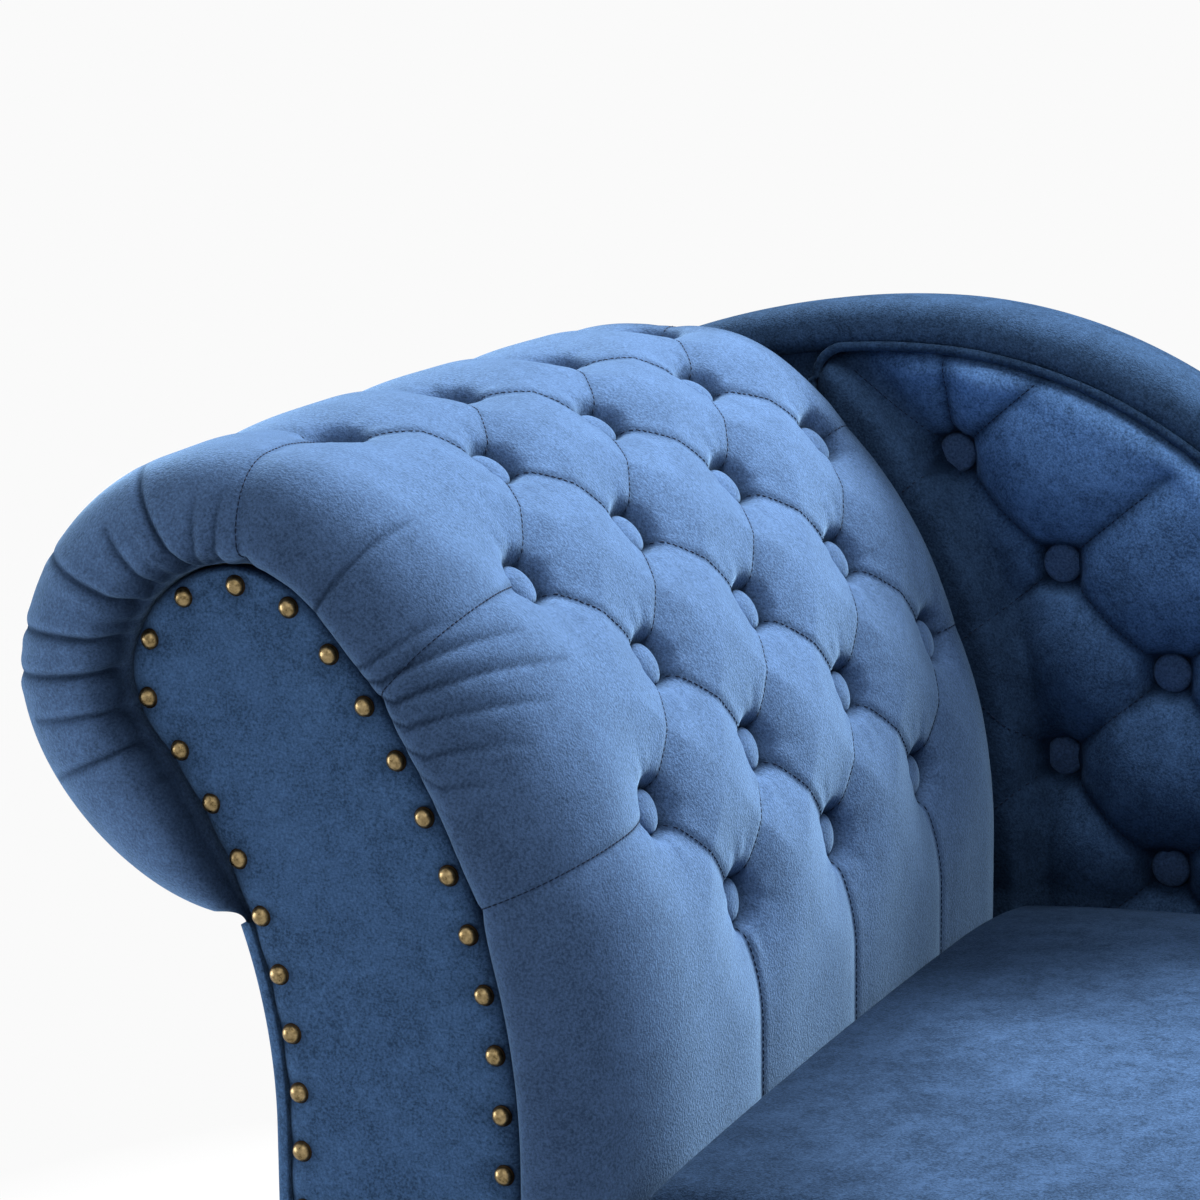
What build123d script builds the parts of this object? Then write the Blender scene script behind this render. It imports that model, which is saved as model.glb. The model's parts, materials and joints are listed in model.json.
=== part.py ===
"""Upholstered chaise longue with one rolled, button-tufted arm and a swooping tufted back.

Millimetres, +Z up. The head end with the rolled arm is at -X, the foot end at +X, the open front at -Y
and the back at +Y. The origin is on the floor, under the middle of the length and the depth.
"""

from build123d import *
import math
import os

# Overall sizes
LENGTH = 1500.0
DEPTH = 680.0
ARM_HEIGHT = 787.0
SEAT_HEIGHT = 430.0
LEG_HEIGHT = 190.0

# Timber and board sections
RAIL_THICK = 25.0
RAIL_TALL = 100.0
BOARD_THICK = 18.0
SKIN_THICK = 4.0
STILE_THICK = 18.0
STILE_WIDTH = 60.0
BATTEN_SIDE = 36.0
BLOCK_TALL = 45.0
FIT_GAP = 0.3

# Rolled arm
ROLL_RADIUS = 130.0
ROLL_UNDER_RADIUS = 116.0
ARM_WIDTH = 131.0
ARM_SET_IN = 28.0
ARM_PAD_THICK = 60.0
PAD_STRAIGHT = 40.0
SCROLL_RADIUS = 63.0
SCROLL_SHIFT_X = 7.0
SCROLL_SHIFT_Z = 11.0
SCROLL_CURL_RADIUS = 46.0
SCROLL_CURL_TURN = 165.0
SCROLL_STRAIGHT = 250.0
ROLL_UNDER_LAP = 5.0
PAD_EDGE_ROUND = 42.0
PAD_REAR_ROUND = 38.0

# Arm facing and its nails
FACING_THICK = 10.0
FACING_SETBACK = 16.0
NAIL_INSET = 9.0
NAIL_PITCH = 31.0
NAIL_RADIUS = 5.4
NAIL_RISE = 4.2
NAIL_SHANK_RADIUS = 1.0
NAIL_SHANK_LENGTH = 8.5
NAIL_END_MARGIN = 12.0
SHANK_GAP = 0.05

# Swooping back
BACK_PAD_THICK = 52.0
OUTER_PANEL_THICK = 4.0
BAND_WIDTH = 34.0
BAND_STAND_BACK = 10.0
BAND_ROUND = 11.0
BACK_EDGE_ROUND = 16.0
PEAK_FROM_HEAD = 281.0
PEAK_HEIGHT = 782.0
HEAD_ARCH_RADIUS = 130.0
HEAD_ARCH_FROM_HEAD = 160.0
HEAD_FALL = 22.0
BACK_HOLLOW_DROP = 342.0
CREST_RADIUS = 330.0
CREST_SWEEP = 42.0
SWOOP_RADIUS = 520.0
LOW_SLOPE = 6.0
TAIL_FROM_FOOT = 260.0
TAIL_RADIUS = 60.0
PIPING_RADIUS = 3.2
PIPING_LEAD = 65.0

# Tufting
BUTTON_RADIUS = 12.5
BUTTON_RISE = 8.0
BUTTON_RIM = 2.5
TUFT_DEPTH = 18.0
TUFT_FLOOR_RADIUS = 14.5
TUFT_FLARE = 33.0
PLEAT_DEPTH = 4.5
PLEAT_HALF_WIDTH = 7.0
PLEAT_END_DEPTH = 13.0
ARM_ROWS = 6
ARM_COLUMNS = 4
ARM_ROW_PITCH = 69.0
ARM_COLUMN_PITCH = 135.0
ARM_FIRST_ROW = 106.5
ARM_FIRST_COLUMN = 125.0
BACK_HALF_PITCH_X = 70.0
BACK_HALF_PITCH_Z = 60.3
BACK_FIRST_BUTTON_DROP = 92.0
BACK_FIRST_BUTTON_SHIFT = 14.5
BACK_EDGE_CLEAR = 52.0
TWINE_RADIUS = 1.0

# Seat
SEAT_CROWN = 18.0
SEAT_END_CROWN = 9.0
APRON_THICK = 10.0
WEB_WIDTH = 60.0
WEB_THICK = 2.0
WEB_COUNT = 9
LONG_WEB_COUNT = 3
DECK_THICK = 1.0
DUST_COVER_THICK = 1.0

# Legs and hardware
LEG_TOP_RADIUS = 26.0
LEG_NECK_RADIUS = 17.0
LEG_BELLY_RADIUS = 24.0
LEG_FOOT_RADIUS = 14.0
LEG_COLLAR_TALL = 16.0
GLIDE_RADIUS = 11.0
GLIDE_THICK = 4.0
BOLT_RADIUS = 4.0
BOLT_GAP = 0.05
BOLT_HEAD_RADIUS = 8.0
BOLT_HEAD_TALL = 5.0
HANGER_IN_LEG = 35.0
HANGER_IN_BLOCK = 40.0

# Planes and lines that the pieces share
HEAD_X = -LENGTH / 2
FOOT_X = LENGTH / 2
FRONT_Y = -DEPTH / 2
REAR_Y = DEPTH / 2
RAIL_TOP = LEG_HEIGHT + RAIL_TALL
FACING_Y = FRONT_Y + FACING_SETBACK
FRAME_FRONT_Y = FACING_Y + FACING_THICK
STILE_REAR_Y = REAR_Y - OUTER_PANEL_THICK
BOARD_REAR_Y = STILE_REAR_Y - STILE_THICK
BOARD_FRONT_Y = BOARD_REAR_Y - BOARD_THICK
BACK_PAD_Y = BOARD_FRONT_Y - BACK_PAD_THICK
BAND_FRONT_Y = BACK_PAD_Y + BAND_STAND_BACK
ARM_PAD_REAR_Y = BACK_PAD_Y - FIT_GAP
ROLL_X = HEAD_X + ROLL_RADIUS
ROLL_Z = ARM_HEIGHT - ROLL_RADIUS
ARM_OUT_X = ROLL_X + ARM_SET_IN
ARM_IN_X = ARM_OUT_X + ARM_WIDTH
PAD_IN_X = ARM_IN_X + ARM_PAD_THICK
SCROLL_X = ROLL_X + SCROLL_SHIFT_X
SCROLL_Z = ROLL_Z + SCROLL_SHIFT_Z
SCROLL_SPRING_Z = LEG_HEIGHT + SCROLL_STRAIGHT
BACK_SPRING_Z = PEAK_HEIGHT - BACK_HOLLOW_DROP
PAD_SPRING_Z = SEAT_HEIGHT + PAD_STRAIGHT
ROLL_END_Z = ROLL_Z - ROLL_UNDER_RADIUS + ROLL_UNDER_LAP
PEAK_X = HEAD_X + PEAK_FROM_HEAD
HEAD_ARCH_X = HEAD_X + HEAD_ARCH_FROM_HEAD
TAIL_X = FOOT_X - TAIL_FROM_FOOT
FRAME_HEAD_X = ARM_OUT_X + SKIN_THICK
FRAME_FOOT_X = FOOT_X - APRON_THICK
BLOCK_SIDE = ARM_IN_X - FRAME_HEAD_X - 2 * RAIL_THICK - FIT_GAP
LEG_INSET = 0.45 * BLOCK_SIDE
SEAT_BASE_Z = RAIL_TOP + 2 * WEB_THICK + DECK_THICK
SEAT_REAR_Y = BOARD_FRONT_Y + APRON_THICK
RAIL_CORNER_ROUND = 0.95 * RAIL_THICK
SEAT_CORNER_ROUND = RAIL_CORNER_ROUND + APRON_THICK
SEAT_EDGE_ROUND = 0.9 * SEAT_CORNER_ROUND
ARM_BOLT_X = FRAME_HEAD_X + RAIL_THICK / 2
ARM_BOLT_REACH = RAIL_TALL * 0.4
BACK_BOLT_Z = RAIL_TOP - RAIL_TALL * 0.3


# Small helpers for shapes drawn in the XZ plane
def spot(point):
    """A 3D point from an (x, z) pair."""
    return Vector(point[0], 0, point[1])


def on_circle(centre, radius, degrees):
    """The (x, z) point of a circle at an angle from +X."""
    turn = math.radians(degrees)
    return (centre[0] + radius * math.cos(turn), centre[1] + radius * math.sin(turn))


def line(start, end):
    return Line(spot(start), spot(end))


def arc(centre, radius, start, end):
    points = [on_circle(centre, radius, turn) for turn in (start, (start + end) / 2, end)]
    return ThreePointArc(*[spot(point) for point in points])


def direction(start, end):
    """The angle, in degrees, from one (x, z) point to another."""
    return math.degrees(math.atan2(end[1] - start[1], end[0] - start[0]))


def prism(edges, y_start, y_end):
    """A solid between two Y planes from a closed XZ outline."""
    face = Face(Wire(edges))
    return extrude(Pos(0, y_start, 0) * face, amount=y_end - y_start, dir=(0, 1, 0))


def block(x, y, z):
    """A box from three (low, high) pairs."""
    size = [high - low for low, high in (x, y, z)]
    middle = [(high + low) / 2 for low, high in (x, y, z)]
    return Pos(*middle) * Box(*size)


def pin(radius, start, end):
    """A round bar between two points."""
    start, end = Vector(start), Vector(end)
    bar = Cylinder(radius, (end - start).length, align=(Align.CENTER, Align.CENTER, Align.MIN))
    return Plane(origin=start, z_dir=end - start) * bar


def round_foot_corners(solid, radius):
    """Round a solid's upright edges that lie farthest towards the foot end."""
    uprights = solid.edges().filter_by(Axis.Z)
    far = max(edge.position_at(0.5).X for edge in uprights)
    return fillet([edge for edge in uprights if edge.position_at(0.5).X > far - 0.01], radius)


def group(solids):
    return Compound(children=list(solids))


# Outlines
def convex_arc(side_x, spring_z, centre, radius):
    """The arc that leaves a vertical side at spring_z and runs smoothly into the circle from outside it."""
    across, rise = side_x - centre[0], centre[1] - spring_z
    size = (across**2 + rise**2 - radius**2) / (2 * (across - radius))
    middle = (side_x - size, spring_z)
    return middle, size, direction(middle, centre)


def hollow_arc(side_x, spring_z, centre, radius):
    """The arc that leaves a vertical side at spring_z and curls out under the circle."""
    across, rise = side_x - centre[0], centre[1] - spring_z
    size = (across**2 + rise**2 - radius**2) / (2 * (across + radius))
    middle = (side_x - size, spring_z)
    return middle, size, direction(middle, centre)


def scroll_path(inset, bottom):
    """The arm's scroll from its inner foot, over the head and its tighter curl to its outer foot."""
    inner, outer, radius = ARM_IN_X - inset, ARM_OUT_X + inset, SCROLL_RADIUS - inset
    head = (SCROLL_X, SCROLL_Z)
    curl_radius = SCROLL_CURL_RADIUS - inset
    curl = on_circle(head, SCROLL_RADIUS - SCROLL_CURL_RADIUS, SCROLL_CURL_TURN)
    right, right_size, right_turn = convex_arc(inner, SCROLL_SPRING_Z, head, radius)
    left, left_size, left_turn = hollow_arc(outer, SCROLL_SPRING_Z, curl, curl_radius)
    return [
        line((inner, bottom), (inner, SCROLL_SPRING_Z)),
        arc(right, right_size, 0, right_turn),
        arc(head, radius, right_turn, SCROLL_CURL_TURN),
        arc(curl, curl_radius, SCROLL_CURL_TURN, left_turn + 180),
        arc(left, left_size, left_turn, 0),
        line((outer, SCROLL_SPRING_Z), (outer, bottom)),
    ]


def scroll_prism(inset, bottom, y_start, y_end):
    foot = line((ARM_OUT_X + inset, bottom), (ARM_IN_X - inset, bottom))
    return prism([*scroll_path(inset, bottom), foot], y_start, y_end)


def back_path(inset, bottom):
    """The back's outline from its outer foot, over the head arch and crest, down the swoop to the tail."""
    outer, radius = ARM_OUT_X + inset, HEAD_ARCH_RADIUS - inset
    top_z, tail_x = PEAK_HEIGHT - inset, TAIL_X - inset
    arch = (HEAD_ARCH_X, PEAK_HEIGHT - HEAD_FALL - HEAD_ARCH_RADIUS)
    left, left_size, left_turn = hollow_arc(outer, BACK_SPRING_Z, arch, radius)
    across, rise = PEAK_X - arch[0], top_z - arch[1]
    peak_size = (across**2 + rise**2 - radius**2) / (2 * HEAD_FALL)
    peak = (PEAK_X, top_z - peak_size)
    join = direction(peak, arch)
    crest = (PEAK_X, PEAK_HEIGHT - CREST_RADIUS)
    swoop_turn, low_turn = 90 - CREST_SWEEP, 90 - LOW_SLOPE
    swoop = on_circle(crest, CREST_RADIUS + SWOOP_RADIUS, swoop_turn)
    low_start = on_circle(swoop, SWOOP_RADIUS + inset, low_turn + 180)
    slope = math.radians(LOW_SLOPE)
    tail_size = TAIL_RADIUS - inset
    run = (tail_x - tail_size - low_start[0] + tail_size * math.sin(slope)) / math.cos(slope)
    low_end = (low_start[0] + run * math.cos(slope), low_start[1] - run * math.sin(slope))
    tail = (tail_x - tail_size, low_end[1] - tail_size * math.cos(slope))
    return [
        line((outer, bottom), (outer, BACK_SPRING_Z)),
        arc(left, left_size, 0, left_turn),
        arc(arch, radius, left_turn + 180, join),
        arc(peak, peak_size, join, 90),
        arc(crest, CREST_RADIUS - inset, 90, swoop_turn),
        arc(swoop, SWOOP_RADIUS + inset, swoop_turn + 180, low_turn + 180),
        line(low_start, low_end),
        arc(tail, tail_size, low_turn, 0),
        line((tail_x, tail[1]), (tail_x, bottom)),
    ]


def back_prism(inset, bottom, y_start, y_end):
    foot = line((TAIL_X - inset, bottom), (ARM_OUT_X + inset, bottom))
    return prism([*back_path(inset, bottom), foot], y_start, y_end)


# Where the tufts lie on the arm: a distance up the pad's section from the seat gives a point and a normal
PAD_ARC = convex_arc(PAD_IN_X, PAD_SPRING_Z, (ROLL_X, ROLL_Z), ROLL_RADIUS)


def arm_surface(distance):
    middle, size, turn = PAD_ARC
    if distance < PAD_STRAIGHT:
        return (PAD_IN_X, SEAT_HEIGHT + distance), 0.0
    along = distance - PAD_STRAIGHT
    reach = size * math.radians(turn)
    if along < reach:
        angle = math.degrees(along / size)
        return on_circle(middle, size, angle), angle
    angle = turn + math.degrees((along - reach) / ROLL_RADIUS)
    return on_circle((ROLL_X, ROLL_Z), ROLL_RADIUS, angle), angle


def arm_station(distance, y):
    """A plane on the arm pad whose Z points out of the pad and whose X runs towards the back."""
    point, angle = arm_surface(distance)
    normal = on_circle((0, 0), 1, angle)
    return Plane(origin=(point[0], y, point[1]), x_dir=(0, 1, 0), z_dir=(normal[0], 0, normal[1]))


def arm_columns(row):
    """The Y places of a row's buttons: every other row is shifted by half a pitch and has one more."""
    first = FRONT_Y + ARM_FIRST_COLUMN
    if row % 2:
        return [first + ARM_COLUMN_PITCH * n for n in range(ARM_COLUMNS)]
    return [first + ARM_COLUMN_PITCH * (n + 0.5) for n in range(ARM_COLUMNS - 1)]


def arm_row_distance(row):
    return ARM_FIRST_ROW + ARM_ROW_PITCH * row


def arm_button_planes():
    return [arm_station(arm_row_distance(row), y) for row in range(ARM_ROWS) for y in arm_columns(row)]


def back_top(x, inset):
    """The height of the back's outline over a place to the right of the peak."""
    crest = (PEAK_X, PEAK_HEIGHT - CREST_RADIUS)
    swoop = on_circle(crest, CREST_RADIUS + SWOOP_RADIUS, 90 - CREST_SWEEP)
    low = on_circle(swoop, SWOOP_RADIUS + inset, 270 - LOW_SLOPE)
    radius = CREST_RADIUS - inset
    if x < on_circle(crest, radius, 90 - CREST_SWEEP)[0]:
        return crest[1] + math.sqrt(radius**2 - max(x - PEAK_X, 0) ** 2)
    if x < low[0]:
        return swoop[1] - math.sqrt((SWOOP_RADIUS + inset) ** 2 - (x - swoop[0]) ** 2)
    return low[1] - (x - low[0]) * math.tan(math.radians(LOW_SLOPE))


def arm_pad_reach(z):
    """How far the arm pad's inner side comes along the length at a height above the seat."""
    middle, size, turn = PAD_ARC
    rise = min(max(z - middle[1], 0), size * math.sin(math.radians(turn)))
    return middle[0] + math.sqrt(size**2 - rise**2)


def back_button_spots():
    """The lattice places that have room for a button between the arm, the seat and the band."""
    first_x = PEAK_X + BACK_FIRST_BUTTON_SHIFT
    first_z = PEAK_HEIGHT - BACK_FIRST_BUTTON_DROP
    rows = int((first_z - SEAT_HEIGHT) / BACK_HALF_PITCH_Z) + 1
    columns = int((TAIL_X - BAND_WIDTH - BACK_EDGE_CLEAR - first_x) / BACK_HALF_PITCH_X) + 1
    spots = {}
    for row in range(rows):
        for column in range(row % 2, columns, 2):
            x = first_x + BACK_HALF_PITCH_X * column
            z = first_z - BACK_HALF_PITCH_Z * row
            below_band = z < back_top(x, BAND_WIDTH) - BACK_EDGE_CLEAR
            beside_arm = x > arm_pad_reach(z) - 2 * BUTTON_RADIUS
            if below_band and beside_arm:
                spots[row, column] = (x, z)
    return spots


def back_station(x, z):
    """A plane on the front of the back pad whose Z points out of it."""
    return Plane(origin=(x, BACK_PAD_Y, z), x_dir=(1, 0, 0), z_dir=(0, -1, 0))


# Tufting tools
def turned(edges):
    """A solid turned about Z from a closed outline drawn to the right of the axis."""
    return revolve(Face(Wire(edges)), axis=Axis.Z)


def tuft_cutter(stem):
    """The hollow round one button, with a fine hole below it for the twine."""
    middle = (TUFT_FLOOR_RADIUS + TUFT_DEPTH, -TUFT_DEPTH)
    rim = (TUFT_FLOOR_RADIUS, -TUFT_DEPTH)
    bore = TWINE_RADIUS + FIT_GAP
    shoulder = on_circle(middle, TUFT_DEPTH, 90 + TUFT_FLARE)
    lift = TUFT_DEPTH / 2
    mouth = shoulder[0] + (lift - shoulder[1]) / math.tan(math.radians(TUFT_FLARE))
    return turned([
        line((0, -stem), (bore, -stem)),
        line((bore, -stem), (bore, -TUFT_DEPTH)),
        line((bore, -TUFT_DEPTH), rim),
        arc(middle, TUFT_DEPTH, 180, 90 + TUFT_FLARE),
        line(shoulder, (mouth, lift)),
        line((mouth, lift), (0, lift)),
        line((0, lift), (0, -stem)),
    ])


def pleat_cutter(stations):
    """A V channel along (plane, side direction, depth) stations."""
    sections = []
    for plane, side, depth in stations:
        out = plane.z_dir
        half = PLEAT_HALF_WIDTH * (1 + depth / PLEAT_END_DEPTH)
        low = plane.origin - out * depth
        high = plane.origin + out * PLEAT_DEPTH
        sections.append(Wire.make_polygon([low, high + side * half, high - side * half]))
    return Solid.make_loft(sections, ruled=True)


def arm_pleat(start, end, end_depth=PLEAT_END_DEPTH, steps=2):
    """A channel on the arm pad between two (distance, y) places, deep at the first and shallow midway."""
    stations = []
    for step in range(steps + 1):
        part = step / steps
        distance = start[0] + (end[0] - start[0]) * part
        y = start[1] + (end[1] - start[1]) * part
        plane = arm_station(distance, y)
        up = plane.z_dir.cross(plane.x_dir)
        along = plane.x_dir * (end[1] - start[1]) - up * (start[0] - end[0])
        side = plane.z_dir.cross(along).normalized()
        if step == 0:
            depth = PLEAT_END_DEPTH
        elif step == steps:
            depth = end_depth
        else:
            depth = PLEAT_DEPTH
        stations.append((plane, side, depth))
    return pleat_cutter(stations)


def back_pleat(start, end, end_depth=PLEAT_END_DEPTH):
    """A channel on the back pad between two (x, z) places."""
    stations = []
    along = Vector(end[0] - start[0], 0, end[1] - start[1])
    side = along.cross(Vector(0, 1, 0)).normalized()
    for part, depth in ((0, PLEAT_END_DEPTH), (0.5, PLEAT_DEPTH), (1, end_depth)):
        place = (start[0] + (end[0] - start[0]) * part, start[1] + (end[1] - start[1]) * part)
        stations.append((back_station(*place), side, depth))
    return pleat_cutter(stations)


def arm_pleats():
    """Diamond seams between neighbouring buttons, and the straight pleats that run out to the edges."""
    pleats = []
    top = arm_row_distance(ARM_ROWS - 1)
    over = math.pi * ROLL_RADIUS / 2
    for row in range(ARM_ROWS):
        distance = arm_row_distance(row)
        for y in arm_columns(row):
            if row == 0:
                pleats.append(arm_pleat((distance, y), (0, y), PLEAT_DEPTH))
            if row == ARM_ROWS - 1:
                pleats.append(arm_pleat((top, y), (top + over, y), PLEAT_DEPTH / 4, 4))
            else:
                for other in arm_columns(row + 1):
                    if abs(other - y) < 0.6 * ARM_COLUMN_PITCH:
                        pleats.append(arm_pleat((distance, y), (arm_row_distance(row + 1), other)))
        if row % 2:
            ends = arm_columns(row)
            pleats.append(arm_pleat((distance, ends[0]), (distance, FRONT_Y), PLEAT_DEPTH))
            pleats.append(arm_pleat((distance, ends[-1]), (distance, ARM_PAD_REAR_Y), PLEAT_DEPTH))
    return pleats


def back_pleats():
    """Diamond seams of the back, and the seams that run out to the band, the arm or the seat."""
    spots = back_button_spots()
    pleats = []
    for (row, column), (x, z) in spots.items():
        for step_row, step_column in ((1, 1), (1, -1), (-1, 1), (-1, -1)):
            place = (x + BACK_HALF_PITCH_X * step_column, z - BACK_HALF_PITCH_Z * step_row)
            if (row + step_row, column + step_column) in spots:
                if step_row == 1:
                    pleats.append(back_pleat((x, z), place))
            elif place[0] < TAIL_X - BAND_WIDTH and place[1] > SEAT_BASE_Z:
                pleats.append(back_pleat((x, z), place, PLEAT_DEPTH / 2))
    return pleats


def button():
    """A covered button: a flat back, a short rim and a domed face."""
    dome = BUTTON_RISE - BUTTON_RIM
    radius = (BUTTON_RADIUS**2 + dome**2) / (2 * dome)
    centre = (0, BUTTON_RISE - radius)
    return turned([
        line((0, 0), (BUTTON_RADIUS, 0)),
        line((BUTTON_RADIUS, 0), (BUTTON_RADIUS, BUTTON_RIM)),
        arc(centre, radius, direction(centre, (BUTTON_RADIUS, BUTTON_RIM)), 90),
        line((0, BUTTON_RISE), (0, 0)),
    ])


# Rolled arm
def arm_pad():
    middle, size, turn = PAD_ARC
    under = (HEAD_X + ROLL_UNDER_RADIUS, ROLL_Z)
    under_low = on_circle(under, ROLL_UNDER_RADIUS, 270)
    inside_x = (ARM_IN_X + ARM_OUT_X) / 2
    outline = [
        line((PAD_IN_X, RAIL_TOP), (PAD_IN_X, PAD_SPRING_Z)),
        arc(middle, size, 0, turn),
        arc((ROLL_X, ROLL_Z), ROLL_RADIUS, turn, 180),
        arc(under, ROLL_UNDER_RADIUS, 180, 270),
        line(under_low, (inside_x, ROLL_END_Z)),
        line((inside_x, ROLL_END_Z), (inside_x, RAIL_TOP)),
        line((inside_x, RAIL_TOP), (PAD_IN_X, RAIL_TOP)),
    ]
    pad = prism(outline, FRONT_Y, ARM_PAD_REAR_Y)
    rounds = outline[:4]
    for y, radius in ((FRONT_Y, PAD_EDGE_ROUND), (ARM_PAD_REAR_Y, PAD_REAR_ROUND)):
        picked = []
        for edge in pad.edges():
            at = edge.position_at(0.5)
            on_end = abs(at.Y - y) < 0.01
            if on_end and any((Vector(at.X, 0, at.Z) - r.position_at(0.5)).length < 0.5 for r in rounds):
                picked.append(edge)
        pad = fillet(picked, radius)
    hollow = scroll_prism(-FIT_GAP, RAIL_TOP - RAIL_TALL, FRONT_Y - RAIL_THICK, REAR_Y)
    stem = 1.6 * ARM_PAD_THICK
    tufts = [plane * tuft_cutter(stem) for plane in arm_button_planes()]
    return pad.cut(hollow, *tufts, *arm_pleats())


def arm_buttons():
    return group(plane.offset(-TUFT_DEPTH) * button() for plane in arm_button_planes())


def arm_button_twine():
    core = scroll_prism(0, LEG_HEIGHT, FRONT_Y, REAR_Y)
    stem = 1.6 * ARM_PAD_THICK
    twine = []
    for plane in arm_button_planes():
        start = plane.origin - plane.z_dir * TUFT_DEPTH
        twine.append(pin(TWINE_RADIUS, start, plane.origin - plane.z_dir * stem) - core)
    return group(twine)


def arm_shell():
    """The bent skin over the arm's boards, and the outside panel that closes the arm below the roll."""
    outer = scroll_prism(0, LEG_HEIGHT, FRAME_FRONT_Y, BOARD_FRONT_Y)
    inner = scroll_prism(SKIN_THICK, LEG_HEIGHT, FRAME_FRONT_Y, BOARD_FRONT_Y)
    middle_x = (ARM_OUT_X + ARM_IN_X) / 2
    outside = block((HEAD_X, middle_x), (FRONT_Y, REAR_Y), (0, ROLL_END_Z))
    below = block((middle_x, FOOT_X), (FRONT_Y, REAR_Y), (0, RAIL_TOP))
    shell = outer - inner
    return shell - outside - below, shell & outside


def nail_places():
    """The nails' places, a pitch apart both ways from the top of the scroll."""
    path = Wire(scroll_path(NAIL_INSET, LEG_HEIGHT))
    edges = scroll_path(NAIL_INSET, LEG_HEIGHT)
    turn = convex_arc(ARM_IN_X - NAIL_INSET, SCROLL_SPRING_Z, (SCROLL_X, SCROLL_Z), SCROLL_RADIUS - NAIL_INSET)[2]
    top = edges[0].length + edges[1].length + math.radians(90 - turn) * (SCROLL_RADIUS - NAIL_INSET)
    before = int((top - NAIL_END_MARGIN) / NAIL_PITCH)
    after = int((path.length - top - NAIL_END_MARGIN) / NAIL_PITCH)
    return [
        path.position_at(top + NAIL_PITCH * count, position_mode=PositionMode.LENGTH)
        for count in range(-before, after + 1)
    ]


def facing_nails():
    dome = (NAIL_RADIUS**2 + NAIL_RISE**2) / (2 * NAIL_RISE)
    centre = (0, NAIL_RISE - dome)
    nail = turned([
        line((0, -NAIL_SHANK_LENGTH), (NAIL_SHANK_RADIUS, -NAIL_SHANK_LENGTH)),
        line((NAIL_SHANK_RADIUS, -NAIL_SHANK_LENGTH), (NAIL_SHANK_RADIUS, 0)),
        line((NAIL_SHANK_RADIUS, 0), (NAIL_RADIUS, 0)),
        arc(centre, dome, direction(centre, (NAIL_RADIUS, 0)), 90),
        line((0, NAIL_RISE), (0, -NAIL_SHANK_LENGTH)),
    ])
    return group(
        Plane(origin=(place.X, FACING_Y, place.Z), z_dir=(0, -1, 0)) * nail for place in nail_places()
    )


def arm_facing():
    panel = scroll_prism(0, LEG_HEIGHT, FACING_Y, FRAME_FRONT_Y)
    holes = [
        pin(NAIL_SHANK_RADIUS + SHANK_GAP, (p.X, FACING_Y - 1, p.Z), (p.X, FRAME_FRONT_Y + 1, p.Z))
        for p in nail_places()
    ]
    return panel.cut(*holes)


# Swooping back
def back_pad():
    inset = BAND_WIDTH + FIT_GAP
    bottom = RAIL_TOP + WEB_THICK
    pad = back_prism(inset, bottom, BACK_PAD_Y, BOARD_FRONT_Y)
    rounds = [edge.position_at(0.5) for edge in back_path(inset, bottom)[3:8]]
    picked = []
    for edge in pad.edges():
        at = edge.position_at(0.5)
        on_front = abs(at.Y - BACK_PAD_Y) < 0.01
        if on_front and any((Vector(at.X, 0, at.Z) - place).length < 0.5 for place in rounds):
            picked.append(edge)
    pad = fillet(picked, BACK_EDGE_ROUND)
    head_side = block((HEAD_X, PEAK_X - PIPING_LEAD), (FRONT_Y, REAR_Y), (0, 2 * PEAK_HEIGHT))
    core = scroll_prism(-FIT_GAP, LEG_HEIGHT, FRONT_Y, REAR_Y)
    tufts = [back_station(*place) * tuft_cutter(2 * BACK_PAD_THICK) for place in back_button_spots().values()]
    return pad.cut(head_side, core, *tufts, *back_pleats())


def back_buttons():
    return group(
        back_station(*place).offset(-TUFT_DEPTH) * button() for place in back_button_spots().values()
    )


def back_button_twine():
    floor_y = BACK_PAD_Y + TUFT_DEPTH
    return group(
        pin(TWINE_RADIUS, (x, floor_y, z), (x, BOARD_FRONT_Y, z)) for x, z in back_button_spots().values()
    )


def back_band():
    """The padded band round the back's edge; beside the arm and the rails only its rear part remains."""
    ring = back_prism(0, LEG_HEIGHT, BAND_FRONT_Y, STILE_REAR_Y)
    rounds = [edge.position_at(0.5) for edge in back_path(0, LEG_HEIGHT)]
    picked = []
    for edge in ring.edges():
        at = edge.position_at(0.5)
        on_end = abs(at.Y - BAND_FRONT_Y) < 0.01 or abs(at.Y - STILE_REAR_Y) < 0.01
        if on_end and any((Vector(at.X, 0, at.Z) - place).length < 0.5 for place in rounds):
            picked.append(edge)
    ring = fillet(picked, BAND_ROUND)
    opening = back_prism(BAND_WIDTH, LEG_HEIGHT - RAIL_TALL, FRONT_Y, REAR_Y)
    core = scroll_prism(-FIT_GAP, LEG_HEIGHT - RAIL_TALL, FRONT_Y, BOARD_FRONT_Y)
    rails = block((HEAD_X, FOOT_X), (FRONT_Y, BOARD_FRONT_Y), (0, RAIL_TOP + WEB_THICK))
    under_roll = block((HEAD_X, ARM_IN_X), (FRONT_Y, BOARD_FRONT_Y), (0, ROLL_END_Z))
    return ring.cut(opening, core, rails, under_roll)


def back_piping():
    """The piped seam between the band and the tufted pad, from behind the arm to the seat at the tail."""
    inset = BAND_WIDTH - PIPING_RADIUS
    edges = back_path(inset, SEAT_HEIGHT)
    peak = edges[3].arc_center
    size = edges[3].radius
    lead = math.degrees(math.acos(-PIPING_LEAD / size))
    path = Wire([arc((peak.X, peak.Z), size, lead, 90), *edges[4:]])
    path = Pos(0, BAND_FRONT_Y - PIPING_RADIUS - FIT_GAP, 0) * path
    return sweep(Plane(origin=path @ 0, z_dir=path % 0) * Circle(PIPING_RADIUS), path=path)


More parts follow.
